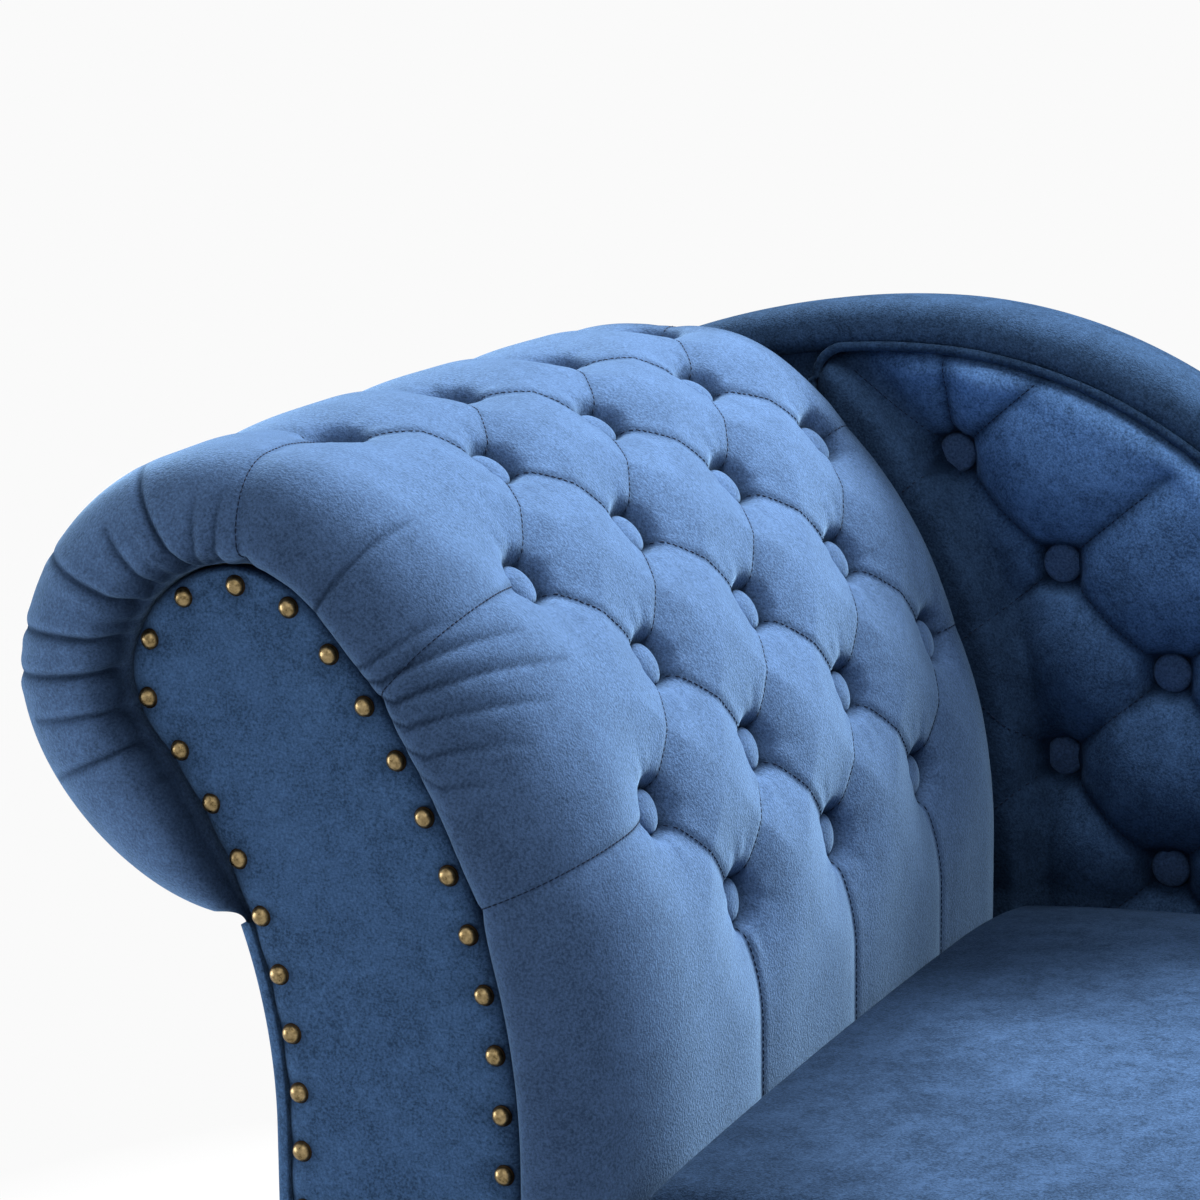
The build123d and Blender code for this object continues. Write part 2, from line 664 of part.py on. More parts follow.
def back_stiles():
    room = back_prism(BAND_WIDTH + FIT_GAP, LEG_HEIGHT, BOARD_REAR_Y, STILE_REAR_Y)
    first = ARM_OUT_X + BAND_WIDTH + STILE_WIDTH / 2 + FIT_GAP
    last = TAIL_X - BAND_WIDTH - STILE_WIDTH / 2 - FIT_GAP
    stiles = []
    for count in range(4):
        x = first + (last - first) * count / 3
        bar = block((x - STILE_WIDTH / 2, x + STILE_WIDTH / 2), (FRONT_Y, REAR_Y), (0, 2 * PEAK_HEIGHT))
        stiles.append(room & bar)
    return stiles


def back_bolt_places():
    """Bolts through the back board into the rear rail, midway between the stiles."""
    centres = [stile.bounding_box().center().X for stile in back_stiles()]
    return [(low + high) / 2 for low, high in zip(centres, centres[1:])]


def bolt(head, tip):
    """A round-headed bolt from the underside of its head to its tip, with the head behind."""
    head, tip = Vector(head), Vector(tip)
    back = head - (tip - head).normalized() * BOLT_HEAD_TALL
    return pin(BOLT_RADIUS, head, tip) + pin(BOLT_HEAD_RADIUS, back, head)


def bolt_hole(start, end):
    return pin(BOLT_RADIUS + BOLT_GAP, start, end)


# Seat
def seat_plan(bottom, top):
    """The seat's plan between the arm pad, the back and the foot end, as an upright solid."""
    tail = TAIL_X + FIT_GAP
    rear = BACK_PAD_Y - FIT_GAP
    corners = [
        (PAD_IN_X + FIT_GAP, FACING_Y),
        (FOOT_X, FACING_Y),
        (FOOT_X, SEAT_REAR_Y),
        (tail, SEAT_REAR_Y),
        (tail, rear),
        (PAD_IN_X + FIT_GAP, rear),
    ]
    face = Face(Wire.make_polygon([Vector(x, y, bottom) for x, y in corners]))
    return round_foot_corners(extrude(face, amount=top - bottom, dir=(0, 0, 1)), SEAT_CORNER_ROUND)


def seat_pad():
    """The sprung seat: a soft crown both ways over a flat base, with rounded upper edges."""
    reach = FOOT_X - PAD_IN_X
    front, rear = FACING_Y - SEAT_EDGE_ROUND / 2, SEAT_REAR_Y + SEAT_EDGE_ROUND / 2
    middle_y = (front + rear) / 2
    sections = []
    for part, rise in ((-0.02, SEAT_END_CROWN), (0.3, SEAT_CROWN), (0.7, SEAT_CROWN), (1.02, SEAT_END_CROWN)):
        x = PAD_IN_X + reach * part
        ends = [Vector(x, front, SEAT_HEIGHT), Vector(x, rear, SEAT_HEIGHT)]
        feet = [Vector(x, rear, SEAT_BASE_Z), Vector(x, front, SEAT_BASE_Z)]
        crown = ThreePointArc(ends[0], Vector(x, middle_y, SEAT_HEIGHT + rise), ends[1])
        sections.append(Wire([crown, Line(ends[1], feet[0]), Line(feet[0], feet[1]), Line(feet[1], ends[0])]))
    soft = Solid.make_loft(sections)
    pad = soft & seat_plan(SEAT_BASE_Z, SEAT_HEIGHT + 2 * SEAT_CROWN)
    rim = [edge for edge in pad.edges() if edge.bounding_box().min.Z > SEAT_HEIGHT - SEAT_EDGE_ROUND]
    return fillet(rim, SEAT_EDGE_ROUND)


def seat_border():
    """The padded cloth strip round the rails, from the arm's facing by the foot end to the back's tail."""
    low = Vector(ARM_IN_X + FIT_GAP, FACING_Y, LEG_HEIGHT)
    tall = SEAT_BASE_Z - LEG_HEIGHT
    outer = block((low.X, FOOT_X), (FACING_Y, SEAT_REAR_Y), (LEG_HEIGHT, SEAT_BASE_Z))
    outer = round_foot_corners(outer, SEAT_CORNER_ROUND)
    frame = block((HEAD_X, FRAME_FOOT_X), (FRAME_FRONT_Y, BOARD_FRONT_Y), (0, LEG_HEIGHT + 2 * tall))
    frame = round_foot_corners(frame, RAIL_CORNER_ROUND)
    behind = block((HEAD_X, TAIL_X + FIT_GAP), (BOARD_FRONT_Y - 1, REAR_Y), (0, LEG_HEIGHT + 2 * tall))
    under_arm = block((HEAD_X, PAD_IN_X + FIT_GAP), (FRONT_Y, REAR_Y), (RAIL_TOP, LEG_HEIGHT + 2 * tall))
    return outer.cut(frame, behind, under_arm)


def seat_rails():
    tall = (LEG_HEIGHT, RAIL_TOP)
    long = (FRAME_HEAD_X, FRAME_FOOT_X)
    across = (FRAME_FRONT_Y + RAIL_THICK, BOARD_FRONT_Y - RAIL_THICK)
    outline = round_foot_corners(block(long, (FRAME_FRONT_Y, BOARD_FRONT_Y), tall), RAIL_CORNER_ROUND)
    front = outline & block(long, (FRAME_FRONT_Y, FRAME_FRONT_Y + RAIL_THICK), tall)
    rear = outline & block(long, (BOARD_FRONT_Y - RAIL_THICK, BOARD_FRONT_Y), tall)
    head = block((FRAME_HEAD_X, FRAME_HEAD_X + RAIL_THICK), across, tall)
    foot = block((FRAME_FOOT_X - RAIL_THICK, FRAME_FOOT_X), across, tall)
    arm = block((ARM_IN_X - RAIL_THICK, ARM_IN_X + RAIL_THICK), across, tall)
    inner, outer = ARM_IN_X + RAIL_THICK, FRAME_FOOT_X - RAIL_THICK
    cross = []
    for part in (1, 2):
        x = inner + (outer - inner) * part / 3
        cross.append(
            block((x - RAIL_THICK / 2, x + RAIL_THICK / 2), across, (LEG_HEIGHT, RAIL_TOP - RAIL_THICK))
        )
    rear = rear.cut(*[
        bolt_hole((x, BOARD_REAR_Y, BACK_BOLT_Z), (x, BOARD_FRONT_Y - RAIL_THICK - 1, BACK_BOLT_Z))
        for x in back_bolt_places()
    ])
    head = head.cut(*[
        bolt_hole((ARM_BOLT_X, y, RAIL_TOP), (ARM_BOLT_X, y, RAIL_TOP - ARM_BOLT_REACH - 1))
        for y in arm_bolt_places()
    ])
    return front, rear, head, foot, arm, cross


def arm_bolt_places():
    low, high = FRAME_FRONT_Y + BOARD_THICK, BOARD_FRONT_Y - BOARD_THICK
    return [low + (high - low) * part for part in (0.2, 0.5, 0.8)]


def arm_base_board():
    board = block(
        (FRAME_HEAD_X, ARM_IN_X - SKIN_THICK),
        (FRAME_FRONT_Y + BOARD_THICK, BOARD_FRONT_Y - BOARD_THICK),
        (RAIL_TOP, RAIL_TOP + BOARD_THICK),
    )
    return board.cut(*[
        bolt_hole((ARM_BOLT_X, y, RAIL_TOP - 1), (ARM_BOLT_X, y, RAIL_TOP + BOARD_THICK + 1))
        for y in arm_bolt_places()
    ])


def arm_bolts():
    return group(
        bolt((ARM_BOLT_X, y, RAIL_TOP + BOARD_THICK), (ARM_BOLT_X, y, RAIL_TOP - ARM_BOLT_REACH))
        for y in arm_bolt_places()
    )


def back_board():
    board = back_prism(BAND_WIDTH + FIT_GAP, LEG_HEIGHT, BOARD_FRONT_Y, BOARD_REAR_Y)
    return board.cut(*[
        bolt_hole((x, BOARD_FRONT_Y - 1, BACK_BOLT_Z), (x, BOARD_REAR_Y + 1, BACK_BOLT_Z))
        for x in back_bolt_places()
    ])


def back_bolts():
    return group(
        bolt((x, BOARD_REAR_Y, BACK_BOLT_Z), (x, BOARD_FRONT_Y - RAIL_THICK, BACK_BOLT_Z))
        for x in back_bolt_places()
    )


def arm_battens():
    long = (FRAME_FRONT_Y + BOARD_THICK, BOARD_FRONT_Y - BOARD_THICK)
    half = BATTEN_SIDE / 2
    low = (SCROLL_SPRING_Z - BATTEN_SIDE, SCROLL_SPRING_Z)
    inner_x = ARM_IN_X - SKIN_THICK
    outer_x = ARM_OUT_X + SKIN_THICK
    head = block((SCROLL_X - half, SCROLL_X + half), long, (SCROLL_Z - half, SCROLL_Z + half))
    inner = block((inner_x - BATTEN_SIDE, inner_x), long, low)
    outer = block((outer_x, outer_x + BATTEN_SIDE), long, low)
    return head, inner, outer


# Webbing and cloths
def webbing():
    """Straps from the front rail to the rear rail, and straps laid over them along the length."""
    first, last = PAD_IN_X + WEB_WIDTH, FRAME_FOOT_X - WEB_WIDTH
    cross = []
    for count in range(WEB_COUNT):
        x = first + (last - first) * count / (WEB_COUNT - 1)
        cross.append(
            block((x - WEB_WIDTH / 2, x + WEB_WIDTH / 2), (FRAME_FRONT_Y, BOARD_FRONT_Y), (RAIL_TOP, RAIL_TOP + WEB_THICK))
        )
    front, rear = FRAME_FRONT_Y, BACK_PAD_Y
    long = []
    for count in range(LONG_WEB_COUNT):
        y = front + (rear - front) * (count + 0.5) / LONG_WEB_COUNT
        long.append(
            block(
                (PAD_IN_X + FIT_GAP, FRAME_FOOT_X),
                (y - WEB_WIDTH / 2, y + WEB_WIDTH / 2),
                (RAIL_TOP + WEB_THICK, RAIL_TOP + 2 * WEB_THICK),
            )
        )
    return cross, long


def deck_cloth():
    cloth = block(
        (PAD_IN_X + FIT_GAP, FRAME_FOOT_X), (FRAME_FRONT_Y, BACK_PAD_Y - FIT_GAP), (SEAT_BASE_Z - DECK_THICK, SEAT_BASE_Z)
    )
    return round_foot_corners(cloth, RAIL_CORNER_ROUND)


# Legs
def leg_corners():
    """Each leg's name, the inside corner of the rails it stands by, and the way into the frame."""
    head, foot = FRAME_HEAD_X + RAIL_THICK, FRAME_FOOT_X - RAIL_THICK
    front, rear = FRAME_FRONT_Y + RAIL_THICK, BOARD_FRONT_Y - RAIL_THICK
    return {
        "front_head": (head, front, 1, 1),
        "front_foot": (foot, front, -1, 1),
        "rear_head": (head, rear, 1, -1),
        "rear_foot": (foot, rear, -1, -1),
    }


def leg_axis(corner):
    x, y, step_x, step_y = corner
    return x + step_x * LEG_INSET, y + step_y * LEG_INSET


def leg(corner):
    neck_z = LEG_HEIGHT - 2.2 * LEG_COLLAR_TALL
    belly_z = LEG_HEIGHT - 4.8 * LEG_COLLAR_TALL
    waist_z = LEG_HEIGHT * 0.26
    waist = (LEG_BELLY_RADIUS + LEG_FOOT_RADIUS) / 2
    collar_z = LEG_HEIGHT - LEG_COLLAR_TALL
    cove = (LEG_TOP_RADIUS + LEG_NECK_RADIUS) / 2
    bore, floor_z = BOLT_RADIUS + BOLT_GAP, LEG_HEIGHT - HANGER_IN_LEG
    solid = turned([
        line((0, GLIDE_THICK), (LEG_FOOT_RADIUS, GLIDE_THICK)),
        line((LEG_FOOT_RADIUS, GLIDE_THICK), (waist, waist_z)),
        ThreePointArc(spot((waist, waist_z)), spot((LEG_BELLY_RADIUS, belly_z)), spot((LEG_NECK_RADIUS, neck_z))),
        line((LEG_NECK_RADIUS, neck_z), (cove, collar_z)),
        line((cove, collar_z), (LEG_TOP_RADIUS, collar_z)),
        line((LEG_TOP_RADIUS, collar_z), (LEG_TOP_RADIUS, LEG_HEIGHT)),
        line((LEG_TOP_RADIUS, LEG_HEIGHT), (bore, LEG_HEIGHT)),
        line((bore, LEG_HEIGHT), (bore, floor_z)),
        line((bore, floor_z), (0, floor_z)),
        line((0, floor_z), (0, GLIDE_THICK)),
    ])
    return Pos(*leg_axis(corner), 0) * solid


def corner_block(corner):
    x, y, step_x, step_y = corner
    side, keep = BLOCK_SIDE, BLOCK_SIDE / 2
    plan = [(0, 0), (side, 0), (side, keep), (keep, side), (0, side)]
    points = [Vector(x + step_x * across, y + step_y * along, LEG_HEIGHT) for across, along in plan]
    solid = extrude(Face(Wire.make_polygon(points)), amount=BLOCK_TALL, dir=(0, 0, 1))
    at = leg_axis(corner)
    return solid.cut(bolt_hole((*at, LEG_HEIGHT - 1), (*at, LEG_HEIGHT + BLOCK_TALL + 1)))


def dust_cover():
    sheet = block(
        (FRAME_HEAD_X, FRAME_FOOT_X), (FRAME_FRONT_Y, BOARD_FRONT_Y), (LEG_HEIGHT - DUST_COVER_THICK, LEG_HEIGHT)
    )
    return sheet.cut(*[
        pin(LEG_TOP_RADIUS + FIT_GAP, (*leg_axis(corner), 0), (*leg_axis(corner), LEG_HEIGHT + 1))
        for corner in leg_corners().values()
    ])


def nodes():
    corners = leg_corners()
    front, rear, head, foot, arm, cross = seat_rails()
    head_batten, inner_batten, outer_batten = arm_battens()
    skin, outside_panel = arm_shell()
    cross_webs, long_webs = webbing()
    parts = {
        "seat_front_rail": front,
        "seat_rear_rail": rear,
        "seat_head_rail": head,
        "seat_foot_rail": foot,
        "seat_arm_rail": arm,
        "seat_cross_rails": group(cross),
        "corner_blocks": group(corner_block(corner) for corner in corners.values()),
        "arm_base_board": arm_base_board(),
        "arm_front_board": scroll_prism(
            SKIN_THICK, RAIL_TOP, FRAME_FRONT_Y, FRAME_FRONT_Y + BOARD_THICK
        ),
        "arm_rear_board": scroll_prism(SKIN_THICK, RAIL_TOP, BOARD_FRONT_Y - BOARD_THICK, BOARD_FRONT_Y),
        "arm_head_batten": head_batten,
        "arm_inner_batten": inner_batten,
        "arm_outer_batten": outer_batten,
        "arm_skin": skin,
        "arm_outside_panel": outside_panel,
        "arm_pad": arm_pad(),
        "arm_buttons": arm_buttons(),
        "arm_button_twine": arm_button_twine(),
        "arm_facing": arm_facing(),
        "facing_nails": facing_nails(),
        "arm_bolts": arm_bolts(),
        "back_board": back_board(),
        "back_stiles": group(back_stiles()),
        "back_pad": back_pad(),
        "back_buttons": back_buttons(),
        "back_button_twine": back_button_twine(),
        "back_band": back_band(),
        "back_piping": back_piping(),
        "back_outside_panel": back_prism(BAND_ROUND, LEG_HEIGHT, STILE_REAR_Y, REAR_Y),
        "back_bolts": back_bolts(),
        "seat_cross_webbing": group(cross_webs),
        "seat_long_webbing": group(long_webs),
        "seat_deck_cloth": deck_cloth(),
        "seat_pad": seat_pad(),
        "seat_border": seat_border(),
        "dust_cover": dust_cover(),
        "leg_bolts": group(
            pin(BOLT_RADIUS, (*leg_axis(c), LEG_HEIGHT - HANGER_IN_LEG), (*leg_axis(c), LEG_HEIGHT + HANGER_IN_BLOCK))
            for c in corners.values()
        ),
        "leg_glides": group(
            pin(GLIDE_RADIUS, (*leg_axis(c), 0), (*leg_axis(c), GLIDE_THICK)) for c in corners.values()
        ),
    }
    for name, corner in corners.items():
        parts["leg_" + name] = leg(corner)
    return parts


if __name__ == "__main__":
    os.makedirs("parts", exist_ok=True)
    for name, shape in nodes().items():
        export_step(shape, "parts/" + name + ".step")
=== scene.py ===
"""Dresses the chaise longue: tufted velvet pads, nailed facing, piped back, seat, border and turned legs."""

import bmesh
import bpy
import json
import math
import numpy as np
from mathutils import Matrix, Vector


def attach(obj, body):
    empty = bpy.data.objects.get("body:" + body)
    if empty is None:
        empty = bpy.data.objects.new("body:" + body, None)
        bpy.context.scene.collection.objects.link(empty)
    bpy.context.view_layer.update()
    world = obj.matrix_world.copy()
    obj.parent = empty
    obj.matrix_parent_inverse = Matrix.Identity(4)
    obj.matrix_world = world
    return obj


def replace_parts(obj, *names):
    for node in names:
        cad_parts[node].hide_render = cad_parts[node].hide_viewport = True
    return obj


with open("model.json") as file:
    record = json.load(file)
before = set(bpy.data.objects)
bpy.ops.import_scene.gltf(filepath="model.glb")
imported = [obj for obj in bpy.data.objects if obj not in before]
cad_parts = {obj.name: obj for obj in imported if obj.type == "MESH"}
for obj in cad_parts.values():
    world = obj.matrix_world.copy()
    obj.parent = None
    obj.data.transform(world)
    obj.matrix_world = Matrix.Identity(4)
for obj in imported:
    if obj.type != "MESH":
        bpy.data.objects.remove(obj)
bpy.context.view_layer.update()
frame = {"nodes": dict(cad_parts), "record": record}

MM = 0.001

# The sizes the part is drawn from, in millimetres
HEAD_X, FOOT_X = -750.0, 750.0
FRONT_Y, REAR_Y = -340.0, 340.0
FLOOR_GAP = 190.0
SEAT_Z = 430.0
RAIL_TOP = 290.0
FACING_Y = -324.0
BOARD_FRONT_Y = 300.0
BACK_PAD_Y = 248.0
BAND_FRONT_Y = 258.0
PANEL_Y = 336.0
SEAT_BASE_Z = 295.0
SEAT_REAR_Y = 310.0
ROLL = (-620.0, 657.0)
ROLL_RADIUS = 130.0
UNDER_RADIUS = 116.0
ARM_OUT_X, ARM_IN_X, PAD_IN_X = -592.0, -461.0, -401.0
SCROLL = (-613.0, 668.0)
SCROLL_RADIUS = 63.0
CURL_RADIUS, CURL_TURN = 46.0, 165.0
SCROLL_SPRING_Z = 440.0
PAD_SPRING_Z = 470.0
ROLL_END_Z = 546.0
BAND_WIDTH = 27.5
PEAK_X, PEAK_Z = -469.0, 782.0
ARCH_X, ARCH_RADIUS, ARCH_FALL = -590.0, 130.0, 22.0
CREST_RADIUS, CREST_SWEEP = 330.0, 42.0
SWOOP_RADIUS, LOW_SLOPE = 520.0, 6.0
TAIL_X, TAIL_RADIUS = 490.0, 60.0
ARM_ROWS, ARM_COLUMNS = 6, 4
ARM_ROW_PITCH, ARM_COLUMN_PITCH = 69.0, 135.0
ARM_FIRST_ROW, ARM_FIRST_COLUMN = 106.5, -215.0
BACK_FIRST = (-454.5, 690.0)
BACK_STEP = (70.0, 60.3)
NAIL_INSET, NAIL_PITCH = 9.0, 31.0
BUTTON_RADIUS, STITCH_PITCH = 12.3, 3.7
PANEL_SNAP = 5.2
PIPING_RADIUS = 2.8
PIPING_TURN, PIPING_BEND = (-537.0, 690.0), 20.0
SEAT_LIFT, SEAT_PRESSED, SEAT_FALL = 7.0, 10.0, 6.0
SEAT_ROUND, SEAT_CORNER = 30.0, 33.75
LEG_HOLE = 27.5
DUST_MIDDLE, DUST_HALF = (76.0, -7.0), (664.0, 307.0)
LEG_SPOTS = [(-528.0, -254.0), (-528.0, 240.0), (680.5, -254.0), (680.5, 240.0)]

# Tufting: how far a seam draws the pad in, and the lip and hollow round a button
SEAM_REACH, SEAM_DIP, SEAM_PULL = 40.0, 3.2, 1.5
LIP_DEPTH, LIP_REACH = 9.0, 4.4
HOLLOW_DEPTH, HOLLOW_REACH = 8.5, 56.0
BUTTON_SEAT = 12.2
ROLL_SINK = 15.0
CREST_SHARE = 0.76

# Front gathers: distance round the section by the facing and at the far end, length in front widths, depth
GATHERS = [
    (509, 503, 0.95, 3.4), (643, 656, 1.0, 3.0), (693, 681, 0.7, 3.2), (719, 728, 0.95, 3.2),
    (762, 774, 1.05, 3.2), (798, 795, 1.0, 3.4), (828, 822, 0.75, 3.2), (852, 858, 0.8, 3.2),
    (632, 612, 0.7, 2.2), (610, 594, 0.75, 2.4), (620, 604, 0.55, 1.8), (590, 570, 0.45, 1.6),
    (470, 452, 0.8, 3.2), (461, 428, 0.95, 3.8), (450, 404, 1.0, 3.6), (437, 390, 0.9, 3.4),
    (420, 376, 0.8, 3.0), (404, 362, 0.7, 2.6), (386, 350, 0.6, 2.2), (534, 540, 0.4, 1.6),
    (331, 352, 0.5, 2.0), (314, 296, 0.45, 1.8), (744, 750, 0.5, 1.6), (880, 884, 0.5, 1.6),
    (676, 662, 0.4, 1.6),
]

# From this distance round the section on, folds show right up to the facing
OUTER_FOLDS = 590

# Pinches of the band: distance along it and depth
BAND_PINCHES = [(905.0, 1.6), (1010.0, 1.4), (1030.0, 1.0), (1290.0, 1.2), (1430.0, 1.0), (1620.0, 1.0)]


# Outlines drawn in the XZ plane
class Outline:
    """Lines and arcs joined end to end and read by the distance along them."""

    def __init__(self):
        self.parts = []
        self.breaks = [0.0]

    def line(self, start, end):
        start, end = np.array(start), np.array(end)
        length = float(np.linalg.norm(end - start))
        way = (end - start) / length
        self.parts.append(lambda d: (start + way * d[..., None], np.broadcast_to(way, d.shape + (2,))))
        self.breaks.append(self.breaks[-1] + length)
        return self

    def arc(self, centre, radius, start, end):
        centre = np.array(centre)
        turn = 1 if end > start else -1
        first = math.radians(start)

        def read(d):
            angle = first + turn * d / radius
            spoke = np.stack([np.cos(angle), np.sin(angle)], -1)
            along = turn * np.stack([-np.sin(angle), np.cos(angle)], -1)
            return centre + radius * spoke, along

        self.parts.append(read)
        self.breaks.append(self.breaks[-1] + radius * math.radians(abs(end - start)))
        return self

    @property
    def length(self):
        return self.breaks[-1]

    def at(self, distance):
        """Points and unit directions at distances along the outline."""
        distance = np.clip(np.asarray(distance, float), 0, self.length)
        points = np.zeros(distance.shape + (2,))
        ways = np.zeros(distance.shape + (2,))
        for part, low, high in zip(self.parts, self.breaks, self.breaks[1:]):
            here = (distance >= low) & (distance <= high)
            if here.any():
                points[here], ways[here] = part(distance[here] - low)
        return points, ways


def bearing(start, end):
    return math.degrees(math.atan2(end[1] - start[1], end[0] - start[0]))


def on_circle(centre, radius, degrees):
    turn = math.radians(degrees)
    return (centre[0] + radius * math.cos(turn), centre[1] + radius * math.sin(turn))


def leaving_arc(side_x, spring_z, centre, radius, way):
    """The arc from a vertical side into a circle: way -1 runs over it, way 1 curls under it."""
    across, rise = side_x - centre[0], centre[1] - spring_z
    size = (across**2 + rise**2 - radius**2) / (2 * (across + way * radius))
    middle = (side_x - size, spring_z)
    return middle, size, bearing(middle, centre)


def scroll_outline(inset, bottom, stop_z):
    """The arm's scroll from its inner foot over the head and down its outer side."""
    radius = SCROLL_RADIUS - inset
    inner, outer = ARM_IN_X - inset, ARM_OUT_X + inset
    right, right_size, right_turn = leaving_arc(inner, SCROLL_SPRING_Z, SCROLL, radius, -1)
    curl = on_circle(SCROLL, SCROLL_RADIUS - CURL_RADIUS, CURL_TURN)
    left, left_size, left_turn = leaving_arc(outer, SCROLL_SPRING_Z, curl, CURL_RADIUS - inset, 1)
    path = Outline().line((inner, bottom), (inner, SCROLL_SPRING_Z))
    path.arc(right, right_size, 0, right_turn)
    path.arc(SCROLL, radius, right_turn, CURL_TURN)
    path.arc(curl, CURL_RADIUS - inset, CURL_TURN, left_turn + 180)
    if stop_z > SCROLL_SPRING_Z:
        stop_turn = math.degrees(math.asin((stop_z - SCROLL_SPRING_Z) / left_size))
        return path.arc(left, left_size, left_turn, stop_turn)
    path.arc(left, left_size, left_turn, 0)
    return path.line((outer, SCROLL_SPRING_Z), (outer, stop_z))


def scroll_apex(path, inset):
    """The distance along a scroll outline to the top of its head."""
    radius = SCROLL_RADIUS - inset
    turn = leaving_arc(ARM_IN_X - inset, SCROLL_SPRING_Z, SCROLL, radius, -1)[2]
    return path.breaks[2] + radius * math.radians(90 - turn)


def back_outline(inset, head_bottom, tail_bottom):
    """The back's edge from its outer foot over the head arch and crest, down the swoop to the tail."""
    outer, radius = ARM_OUT_X + inset, ARCH_RADIUS - inset
    top_z, tail_x = PEAK_Z - inset, TAIL_X - inset
    arch = (ARCH_X, PEAK_Z - ARCH_FALL - ARCH_RADIUS)
    left, left_size, left_turn = leaving_arc(outer, SCROLL_SPRING_Z, arch, radius, 1)
    across, rise = PEAK_X - arch[0], top_z - arch[1]
    peak_size = (across**2 + rise**2 - radius**2) / (2 * ARCH_FALL)
    peak = (PEAK_X, top_z - peak_size)
    join = bearing(peak, arch)
    crest = (PEAK_X, PEAK_Z - CREST_RADIUS)
    swoop = on_circle(crest, CREST_RADIUS + SWOOP_RADIUS, 90 - CREST_SWEEP)
    low_start = on_circle(swoop, SWOOP_RADIUS + inset, 270 - LOW_SLOPE)
    slope = math.radians(LOW_SLOPE)
    tail_size = TAIL_RADIUS - inset
    run = (tail_x - tail_size - low_start[0] + tail_size * math.sin(slope)) / math.cos(slope)
    low_end = (low_start[0] + run * math.cos(slope), low_start[1] - run * math.sin(slope))
    tail = (tail_x - tail_size, low_end[1] - tail_size * math.cos(slope))
    path = Outline().line((outer, head_bottom), (outer, SCROLL_SPRING_Z))
    path.arc(left, left_size, 0, left_turn)
    path.arc(arch, radius, left_turn + 180, join)
    path.arc(peak, peak_size, join, 90)
    path.arc(crest, CREST_RADIUS - inset, 90, 90 - CREST_SWEEP)
    path.arc(swoop, SWOOP_RADIUS + inset, 270 - CREST_SWEEP, 270 - LOW_SLOPE)
    path.line(low_start, low_end)
    path.arc(tail, tail_size, 90 - LOW_SLOPE, 0)
    return path.line((tail_x, tail[1]), (tail_x, tail_bottom))


# Mesh helpers
def laid_grid(places, crease=None, kept=None):
    """A grid moved to an array of places in millimetres, with a crease value at each point."""
    rows, columns = places.shape[0] - 1, places.shape[1] - 1
    bm = bmesh.new()
    bmesh.ops.create_grid(bm, x_segments=rows, y_segments=columns, size=1.0)
    layer = bm.verts.layers.float.new("crease")
    outside = []
    for vert in bm.verts:
        i, j = round((vert.co.x + 1) / 2 * rows), round((vert.co.y + 1) / 2 * columns)
        vert.co = places[i, j] * MM
        if crease is not None:
            vert[layer] = crease[i, j]
        if kept is not None and not kept[i, j]:
            outside.append(vert)
    bmesh.ops.delete(bm, geom=outside, context="VERTS")
    return bm


def merge_doubles(bm):
    bmesh.ops.remove_doubles(bm, verts=bm.verts, dist=1e-6)


def fill_holes(bm):
    """Closes every open loop of edges and turns the faces outward."""
    bmesh.ops.holes_fill(bm, edges=[edge for edge in bm.edges if edge.is_boundary], sides=0)
    bmesh.ops.recalc_face_normals(bm, faces=bm.faces)


def close_behind(bm, depth):
    """Runs a sheet's rim straight back to a depth in millimetres and closes it there."""
    rim = [edge for edge in bm.edges if edge.is_boundary]
    for item in bmesh.ops.extrude_edge_only(bm, edges=rim)["geom"]:
        if isinstance(item, bmesh.types.BMVert):
            item.co.y = depth * MM
    fill_holes(bm)


def woven_grid(name, places, finish, crease=None):
    """A velvet piece from a grid whose last column meets its first, capped at both ends."""
    bm = laid_grid(places, crease)
    merge_doubles(bm)
    fill_holes(bm)
    return finish_piece(bm, name, "velvet", finishes[finish])


def stuffed(piece, node):
    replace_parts(piece, node)


def set_off(spots, ways, inset, depth):
    """Places beside an outline in the XZ plane, an inset away along each point's way, at their depths."""
    return np.stack([spots[:, :1] + ways[:, :1] * inset, depth, spots[:, 1:] + ways[:, 1:] * inset], -1)


def between(places, row, column):
    """Places read between the points of a grid."""
    i, j = row.astype(int), column.astype(int)
    f, g = (row - i)[:, None], (column - j)[:, None]
    near = places[i, j] * (1 - g) + places[i, j + 1] * g
    far = places[i + 1, j] * (1 - g) + places[i + 1, j + 1] * g
    return near * (1 - f) + far * f


def finish_piece(bm, name, slot, finish=None):
    mesh = bpy.data.meshes.new(name)
    for face in bm.faces:
        face.smooth = True
    bm.to_mesh(mesh)
    bm.free()
    piece = bpy.data.objects.new(name, mesh)
    bpy.context.scene.collection.objects.link(piece)
    piece.data.materials.append(finish or finishes[slot])
    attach(piece, "root")
    return piece


def grid_normals(places):
    along = np.gradient(places, axis=0)
    across = np.gradient(places, axis=1)
    normal = np.cross(along, across)
    return normal / np.maximum(np.linalg.norm(normal, axis=-1, keepdims=True), 1e-9)


# Soft forms
def unit(value):
    """A value held between 0 and 1."""
    return np.clip(value, 0, 1)


def bell(gap, width, power=2):
    """1 at no distance, falling away over a width."""
    return np.exp(-((gap / width) ** power))


def swell(depth, power):
    """A stuffed edge: steep at a seam and level at the middle of a diamond."""
    return (1 - (1 - unit(depth)) ** 2) ** power


